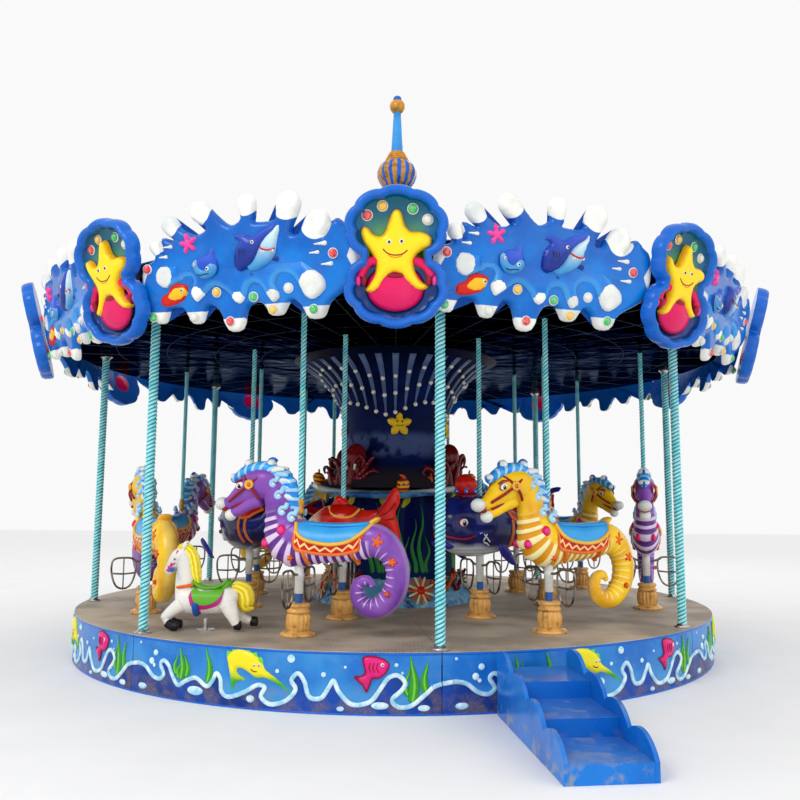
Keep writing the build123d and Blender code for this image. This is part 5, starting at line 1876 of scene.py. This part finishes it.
SKIRT_PLACES = [Matrix.Rotation(tau * k / SECTORS, 4, "Z") for k in range(SECTORS)]
make_each("skirt_relief", make_skirt(), SKIRT_PLACES, "rotor", "skirt_paint")


# ---- Column: fluted crown, wavy ledge, drum with a painted sea bed ----
CROWN = smooth([
    (1.1, 0.79), (1.24, 0.652), (1.42, 0.545), (1.64, 0.5), (1.86, 0.54), (2.07, 0.64), (2.25, 0.8),
    (2.396, 1.048),
], 6)
column_place = standing(0, 0, DECK_Z)


def crown_radius(z):
    for (low, r), (high, q) in zip(CROWN, CROWN[1:]):
        if low <= z <= high:
            return r + (q - r) * (z - low) / (high - low)
    return CROWN[-1][1]


def on_crown(turn, z, lift=0.0):
    r = crown_radius(z) + lift
    return (r * cos(turn), r * sin(turn), z)


def on_column(turn, radius, z, lean=0.0):
    """Local x runs around the column, y up, z outward; lean tips the face upward."""
    out = Vector((cos(turn), sin(turn), lean)).normalized()
    side = Vector((-sin(turn), cos(turn), 0))
    return axes((radius * cos(turn), radius * sin(turn), z), side, out.cross(side), out)


def crown_paint():
    """Dark navy with painted clouds and swirls of lighter blue, and painted shade darkening the top where it
    flares into the ceiling.
    """
    p = Paint("crown_navy", coat=(0.03, 0.3), Specular_IOR_Level=0.04)
    warp = p.noise(2.2, 4.0)
    cloudy = p.noise(5.5, 7.0)
    surf = (cloudy + warp * 0.4).between(0.62, 0.74) * p.z.between(1.36, 1.46) * p.z.between(1.68, 1.58)
    base = p.mix(warp.between(0.35, 0.65), (6, 10, 44), (8, 30, 88))
    colour = p.mix(surf * 0.6, base, (92, 110, 156))
    colour = p.mix(p.z.between(1.36, 1.18) * 0.8, colour, (52, 46, 48))
    # painted shade: near-black towards the top, under the ceiling
    colour = p.mix(p.z.between(2.1, 2.39) * 0.8, colour, (4, 6, 22))
    return p.set(colour, cloudy * 0.15 + 0.42, cloudy, 0.2, 0.006)


def ledge_paint():
    p = Paint("ledge_foam", coat=(0.13, 0.12))
    reach = p.reach()
    cloudy = p.noise(6.0, 6.0)
    top = p.mix(reach.between(0.66, 0.82), (52, 48, 50), (206, 214, 208))
    under = p.mix(cloudy.between(0.4, 0.65), (24, 84, 150), (96, 160, 200))
    return p.set(p.mix(p.z.between(1.052, 1.075), under, top), cloudy * 0.2 + 0.16, cloudy, 0.25, 0.006)


def drum_paint():
    """Painted sea: deep navy above, greener water and light rays towards the foot."""
    p = Paint("drum_sea", coat=(0.03, 0.3), Specular_IOR_Level=0.04)
    warp = p.noise(3.0, 4.0)
    base = p.mix((p.z + warp * 0.3).between(0.25, 0.75), (2, 52, 96), (2, 12, 74))
    turn = p.turn()
    ray = ((turn * 18 + warp * 6).wave()).between(0.5, 1.0) * p.z.between(0.2, 0.8)
    return p.set(p.mix(ray * 0.1, base, (40, 110, 160)), warp * 0.1 + 0.38, p.noise(12.0, 5.0), 0.2, 0.005)


def rock_paint():
    p = Paint("reef_rock", coat=(0.1, 0.2))
    crack = p.cells(9.0).between(0.2, 0.55)
    grain = p.noise(24.0, 6.0)
    colour = p.mix(crack, (14, 60, 118), (96, 164, 206))
    colour = p.mix(grain.between(0.5, 0.7) * 0.5, colour, (196, 222, 230))
    return p.set(colour, grain * 0.3 + 0.25, grain + crack, 0.5, 0.01)


fan_pale = gelcoat("fan_pale", (92, 116, 156), (48, 70, 120))
lamp_white = lamp_cover("lamp_white", (240, 236, 214))
octopus_red = gelcoat("octopus_red", (116, 12, 16), (60, 4, 8), rough=0.16)
coral_orange = gelcoat("coral_orange", (206, 92, 30), (150, 54, 16))
deep_weed = gelcoat("deep_weed", (30, 146, 44), (8, 96, 40))
petal_cream = gelcoat("petal_cream", (240, 222, 170), (214, 180, 110))
leaf_yellow = gelcoat("leaf_yellow", (176, 180, 40), (96, 130, 30))
FAN_RIBS = 36


def make_crown():
    b = Build()
    b.lathe([(r, z) for z, r in CROWN], crown_paint(), count=96, ends=False)
    for i in range(FAN_RIBS):
        turn = tau * i / FAN_RIBS
        foot = 1.82 + 0.13 * abs(sin(turn * 2 + 0.3)) ** 1.5
        line = [foot + (2.34 - foot) * t / 6 for t in range(7)]
        rings = []
        for n, z in enumerate(line):
            wide = 0.009 + 0.024 * n / 6
            at = Vector(on_crown(turn, z, 0.004))
            side = Vector((-sin(turn), cos(turn), 0))
            out = Vector((cos(turn), sin(turn), -0.4)).normalized()
            rings.append(
                [at + side * wide * cos(tau * j / 8) + out * (0.01 * sin(tau * j / 8)) for j in range(8)]
            )
        b.skin(rings, fan_pale)
        for z in (foot - 0.01, foot + 0.17, foot + 0.32):
            spot = Vector(on_crown(turn, z, 0.012))
            b.ball(spot, (0.022, 0.022, 0.022), lamp_white, count=12, rings=7)
    return b


def small_star(b, turn, z, size):
    """Smiling star fixed on the crown."""
    place = on_column(turn, crown_radius(z) + 0.006, z, 0.1)
    outline = star_outline(size, size * 0.52)
    puff(b, outline, size * 0.3, size * 0.3, yellow_resin, size / 8, place=place)
    for x in (-0.2, 0.2):
        b.ball(
            (x * size, 0.14 * size, size * 0.3), (size * 0.07, size * 0.09, size * 0.04), black_resin,
            place, 10
        )
    b.tube(
        [(x * size, (-0.12 - 0.1 * cos(x * 5)) * size, size * 0.31) for x in (-0.26, -0.13, 0, 0.13, 0.26)],
        size * 0.03, crimson_resin, place
    )


def octopus(b, turn, z, size):
    """Dark red octopus clinging to the crown, its arms curling over the ledge."""
    place = on_column(turn, crown_radius(z) + size * 0.35, z)
    b.ball((0, size * 0.35, 0), (size * 0.62, size * 0.8, size * 0.58), octopus_red, place, 24, 14)
    b.ball((0, -size * 0.25, size * 0.05), (size * 0.5, size * 0.42, size * 0.46), octopus_red, place, 20, 10)
    for x in (-0.24, 0.24):
        b.ball(
            (x * size, -0.05 * size, size * 0.48), (size * 0.15, size * 0.18, size * 0.1), white_resin,
            place, 14
        )
        b.ball(
            (x * size, -0.07 * size, size * 0.57), (size * 0.07, size * 0.09, size * 0.05), black_resin,
            place, 10
        )
    for i in range(6):
        swing = -1.25 + i * 0.5
        reach = size * (1.5 + 0.25 * (i % 2))
        spine = []
        for n in range(8):
            t = n / 7
            a = -pi / 2 + swing * (1 + 0.9 * t)
            r = size * 0.3 + reach * t
            spine.append((
                r * cos(a) * 0.95, -size * 0.25 + r * sin(a) * 0.55 + size * 0.25 * sin(t * 5 + i),
                size * (0.17 - 0.12 * t), size * (0.17 - 0.12 * t),
            ))
        b.limb(spine, octopus_red, place, count=12, steps=4, lift=size * 0.18)
        for n in range(1, 7):
            x, y, w, d = spine[n]
            b.ball((x, y, size * 0.18 + d), (w * 0.4, w * 0.4, w * 0.25), pink_resin, place, 8, 5)


def ball_fish(b, turn, size):
    """Striped ball fish on the ledge."""
    place = on_column(turn, 0.775, 1.1 + size)
    for i in range(6):
        low, high = -1 + i / 3, -1 + (i + 1) / 3
        profile = []
        for n in range(5):
            h = low + (high - low) * n / 4
            profile.append((size * sqrt(max(1 - h * h, 0)) * (1 + 0.02 * (i % 2)), size * h))
        b.lathe(profile, red_resin if i % 2 else yellow_resin, place @ Matrix.Rotation(-pi / 2, 4, "X"), 24)
    plume = ((0.1, 0.8), (-0.3, 1.25), (-0.6, 1.5), (-0.3, 1.6), (0.2, 1.4), (0.5, 0.9))
    outline = closed([(x * size, y * size) for x, y in plume], 3)
    slab(b, outline, size * 0.16, size * 0.2, coral_orange, size / 5, place)
    for x in (-0.35, 0.35):
        b.ball(
            (x * size, 0.25 * size, 0.9 * size), (size * 0.16, size * 0.2, size * 0.1), white_resin, place,
            12
        )
        b.ball(
            (x * size, 0.23 * size, 0.98 * size), (size * 0.08, size * 0.1, size * 0.06), black_resin,
            place, 8
        )


def anemone(b, turn, z, size):
    """Cream and red sunburst on the drum."""
    place = on_column(turn, 0.735, z, 0.25)
    for i in range(16):
        a = tau * i / 16
        line = [
            (size * r * cos(a), size * r * sin(a), size * w, size * 0.07)
            for r, w in ((0.25, 0.05), (0.6, 0.1), (0.95, 0.08), (1.02, 0.03))
        ]
        b.limb(line, petal_cream if i % 2 else coral_orange, place, count=8, steps=3, lift=size * 0.08)
    b.ball((0, 0, size * 0.1), (size * 0.32, size * 0.32, size * 0.16), red_resin, place, 20)


def coral_bush(b, turn, z, size, material):
    """Branching coral, seeded by its place."""
    place = on_column(turn, 0.7, z)
    for i in range(7):
        a = pi / 2 + (i - 3) * 0.34
        tip = size * (0.8 + 0.25 * sin(i * 2.3 + turn))
        line = [
            (r * tip * cos(a * (1 - 0.06 * r)), r * tip * sin(a), size * w, size * w)
            for r, w in ((0.05, 0.1), (0.5, 0.075), (0.9, 0.06), (1.0, 0.07))
        ]
        b.limb(line, material, place, count=10, steps=3, lift=0.03 * sin(i * 1.7))
        for n in (-1, 1):
            fork = a + n * 0.5
            x, y = 0.6 * tip * cos(a), 0.6 * tip * sin(a)
            twig = [
                (x, y, size * 0.05, size * 0.05),
                (x + 0.3 * tip * cos(fork), y + 0.3 * tip * sin(fork), size * 0.045, size * 0.045)
            ]
            b.limb(twig, material, place, count=8, steps=3, lift=0.03 * sin(i * 1.7))


def rock_swell(angle, i):
    bumps = 0.03 * sin(9 * angle + i) + 0.016 * sin(23 * angle - 2 * i)
    return 1 + bumps * (0 < i < 5) - 0.015 * (i > 2)


def rim_swell(angle, i):
    bumps = 0.016 * sin(7 * angle) + 0.008 * sin(16 * angle + 1)
    return 1 + bumps * (1 < i < 7) - 0.012 * (1 < i < 7)


def make_drum():
    b = Build()
    wall = [(0.598, 1.05), (0.601, 0.9), (0.604, 0.6), (0.612, 0.33), (0.63, 0.24)]
    b.lathe(wall, drum_paint(), count=96, ends=False)
    foot = [(0.618, 0.27), (0.66, 0.19), (0.7, 0.14), (0.752, 0.1), (0.785, 0.055), (0.798, 0.0)]
    b.lathe(foot, rock_paint(), count=120, swell=rock_swell, ends=False)
    for side in range(4):
        middle = -pi / 2 + side * pi / 2 + 0.12
        for i in range(9):
            turn = middle - 0.5 + i * 0.115
            place = on_column(turn, 0.606, 0)
            high = 0.8 + 0.18 * sin(i * 2.1 + side)
            stations = [
                (0.022 * sin(n * 1.3 + i), 0.22 + (high - 0.22) * n / 7, 0.032 * (1.05 - n / 7), 0.012)
                for n in range(8)
            ]
            b.limb(stations, deep_weed, place, count=8, steps=4)
        anemone(b, middle + 0.22, 0.15, 0.13)
        coral_bush(b, middle + 0.6, 0.13, 0.21, coral_orange)
        coral_bush(b, middle - 0.72, 0.13, 0.23, octopus_red)
    return b


def make_ledge():
    b = Build()
    profile = [
        (0.545, 1.05), (0.7, 1.04), (0.79, 1.04), (0.835, 1.054), (0.85, 1.078), (0.838, 1.098),
        (0.8, 1.106), (0.66, 1.102), (0.545, 1.098)
    ]
    b.lathe(profile, ledge_paint(), count=144, swell=rim_swell)
    for i in range(16):
        turn = tau * i / 16 + 0.2
        place = on_column(turn, 0.7, 1.048) @ Matrix.Rotation(pi, 4, "X")
        blade = [
            (0.0, -0.01, 0.02, 0.012), (0.03 * (1 if i % 2 else -1), 0.05, 0.034, 0.014),
            (0.07 * (1 if i % 2 else -1), 0.11, 0.012, 0.008)
        ]
        b.limb(blade, leaf_yellow, place, count=10, steps=5)
    for side in range(4):
        middle = -pi / 2 + side * pi / 2
        ball_fish(b, middle + 0.1, 0.062)
        octopus(b, middle - 0.62, 1.33, 0.175)
        for i in range(4):
            turn = middle + 0.6 + i * 0.11
            place = on_column(turn, 0.7, 1.09)
            line = [
                (0, 0, 0.034, 0.034), (0.02, 0.12, 0.03, 0.03), (0.07, 0.22, 0.024, 0.024),
                (0.14, 0.26, 0.018, 0.018), (0.18, 0.22, 0.014, 0.014), (0.16, 0.17, 0.01, 0.01)
            ]
            b.limb(
                [(x * (1 if i % 2 else -1), y * (0.8 + 0.15 * i), w, d) for x, y, w, d in line],
                octopus_red, place, count=12, steps=5, lift=0.03
            )
        small_star(b, middle + 0.08, 1.72, 0.125)
        coral_bush(b, middle - 1.02, 1.09, 0.16, coral_orange)
    for vert in b.mesh.verts:
        x, y, z = vert.co
        swing = cos(2 * (atan2(y, x) + pi / 2) + 0.35)
        vert.co.z -= 0.055 * swing * min(max((hypot(x, y) - 0.58) / 0.24, 0), 1) * (1 if z < 1.3 else 0.4)
    return b


make_crown().done("crown_fan", "rotor", "column_resin", "column_crown", place=column_place)
make_drum().done("drum_sea_bed", "rotor", "column_resin", "column_drum", place=column_place)
make_ledge().done("ledge_and_reef", "rotor", "ledge_resin", "column_ledge", place=column_place)


# ---- Floor, light, camera ----
EYE = Vector((0, -8.492, 1.36))
PITCH, TURN, ROLL = radians(7.1), 0.0056, radians(0.34)


def add_floor():
    size = 30
    data = bpy.data.meshes.new("floor")
    data.from_pydata([
        (-size, -size, 0), (size, -size, 0), (size, size, 0), (-size, size, 0),
    ], [], [(0, 1, 2, 3)])
    p = Paint("floor_pale")
    data.materials.append(p.set(p.mix(p.noise(2.0), (238, 238, 238), (246, 246, 246)), 0.9))
    floor = bpy.data.objects.new("floor", data)
    bpy.context.scene.collection.objects.link(floor)


def add_light(name, place, target, size, power, colour=(1, 1, 1)):
    lamp = bpy.data.lights.new(name, "AREA")
    lamp.shape, lamp.size, lamp.energy, lamp.color = "DISK", size, power, colour
    holder = bpy.data.objects.new(name, lamp)
    holder.location = place
    holder.rotation_euler = (Vector(target) - Vector(place)).to_track_quat("-Z", "Y").to_euler()
    bpy.context.scene.collection.objects.link(holder)


def add_camera():
    forward = Vector((TURN * cos(PITCH), cos(PITCH), sin(PITCH))).normalized()
    right = forward.cross(Vector((0, 0, 1))).normalized()
    up = right.cross(forward)
    right, up = right * cos(ROLL) + up * sin(ROLL), up * cos(ROLL) - right * sin(ROLL)
    camera = bpy.data.cameras.new("camera")
    camera.lens, camera.sensor_width = 37.07, 36.0
    holder = bpy.data.objects.new("camera", camera)
    holder.matrix_world = axes(EYE, right, up, -forward)
    bpy.context.scene.collection.objects.link(holder)
    bpy.context.scene.camera = holder


add_floor()
add_light("key", (-6.0, -10.0, 9.0), (0, 0, 1.8), 5.0, 420)
add_light("fill", (8.0, -9.0, 5.0), (0, 0, 1.6), 8.0, 130)
add_light("back", (3.0, 10.0, 9.0), (0, 0, 2.0), 8.0, 160)
add_light("low", (0, -9.5, 1.2), (0, 0, 1.6), 5.0, 30)
world = bpy.data.worlds.new("studio")
world.use_nodes = True
world.node_tree.nodes["Background"].inputs["Color"].default_value = (1, 1, 1, 1)
world.node_tree.nodes["Background"].inputs["Strength"].default_value = 0.95
bpy.context.scene.world = world
bpy.context.scene.view_settings.view_transform = "Standard"
add_camera()
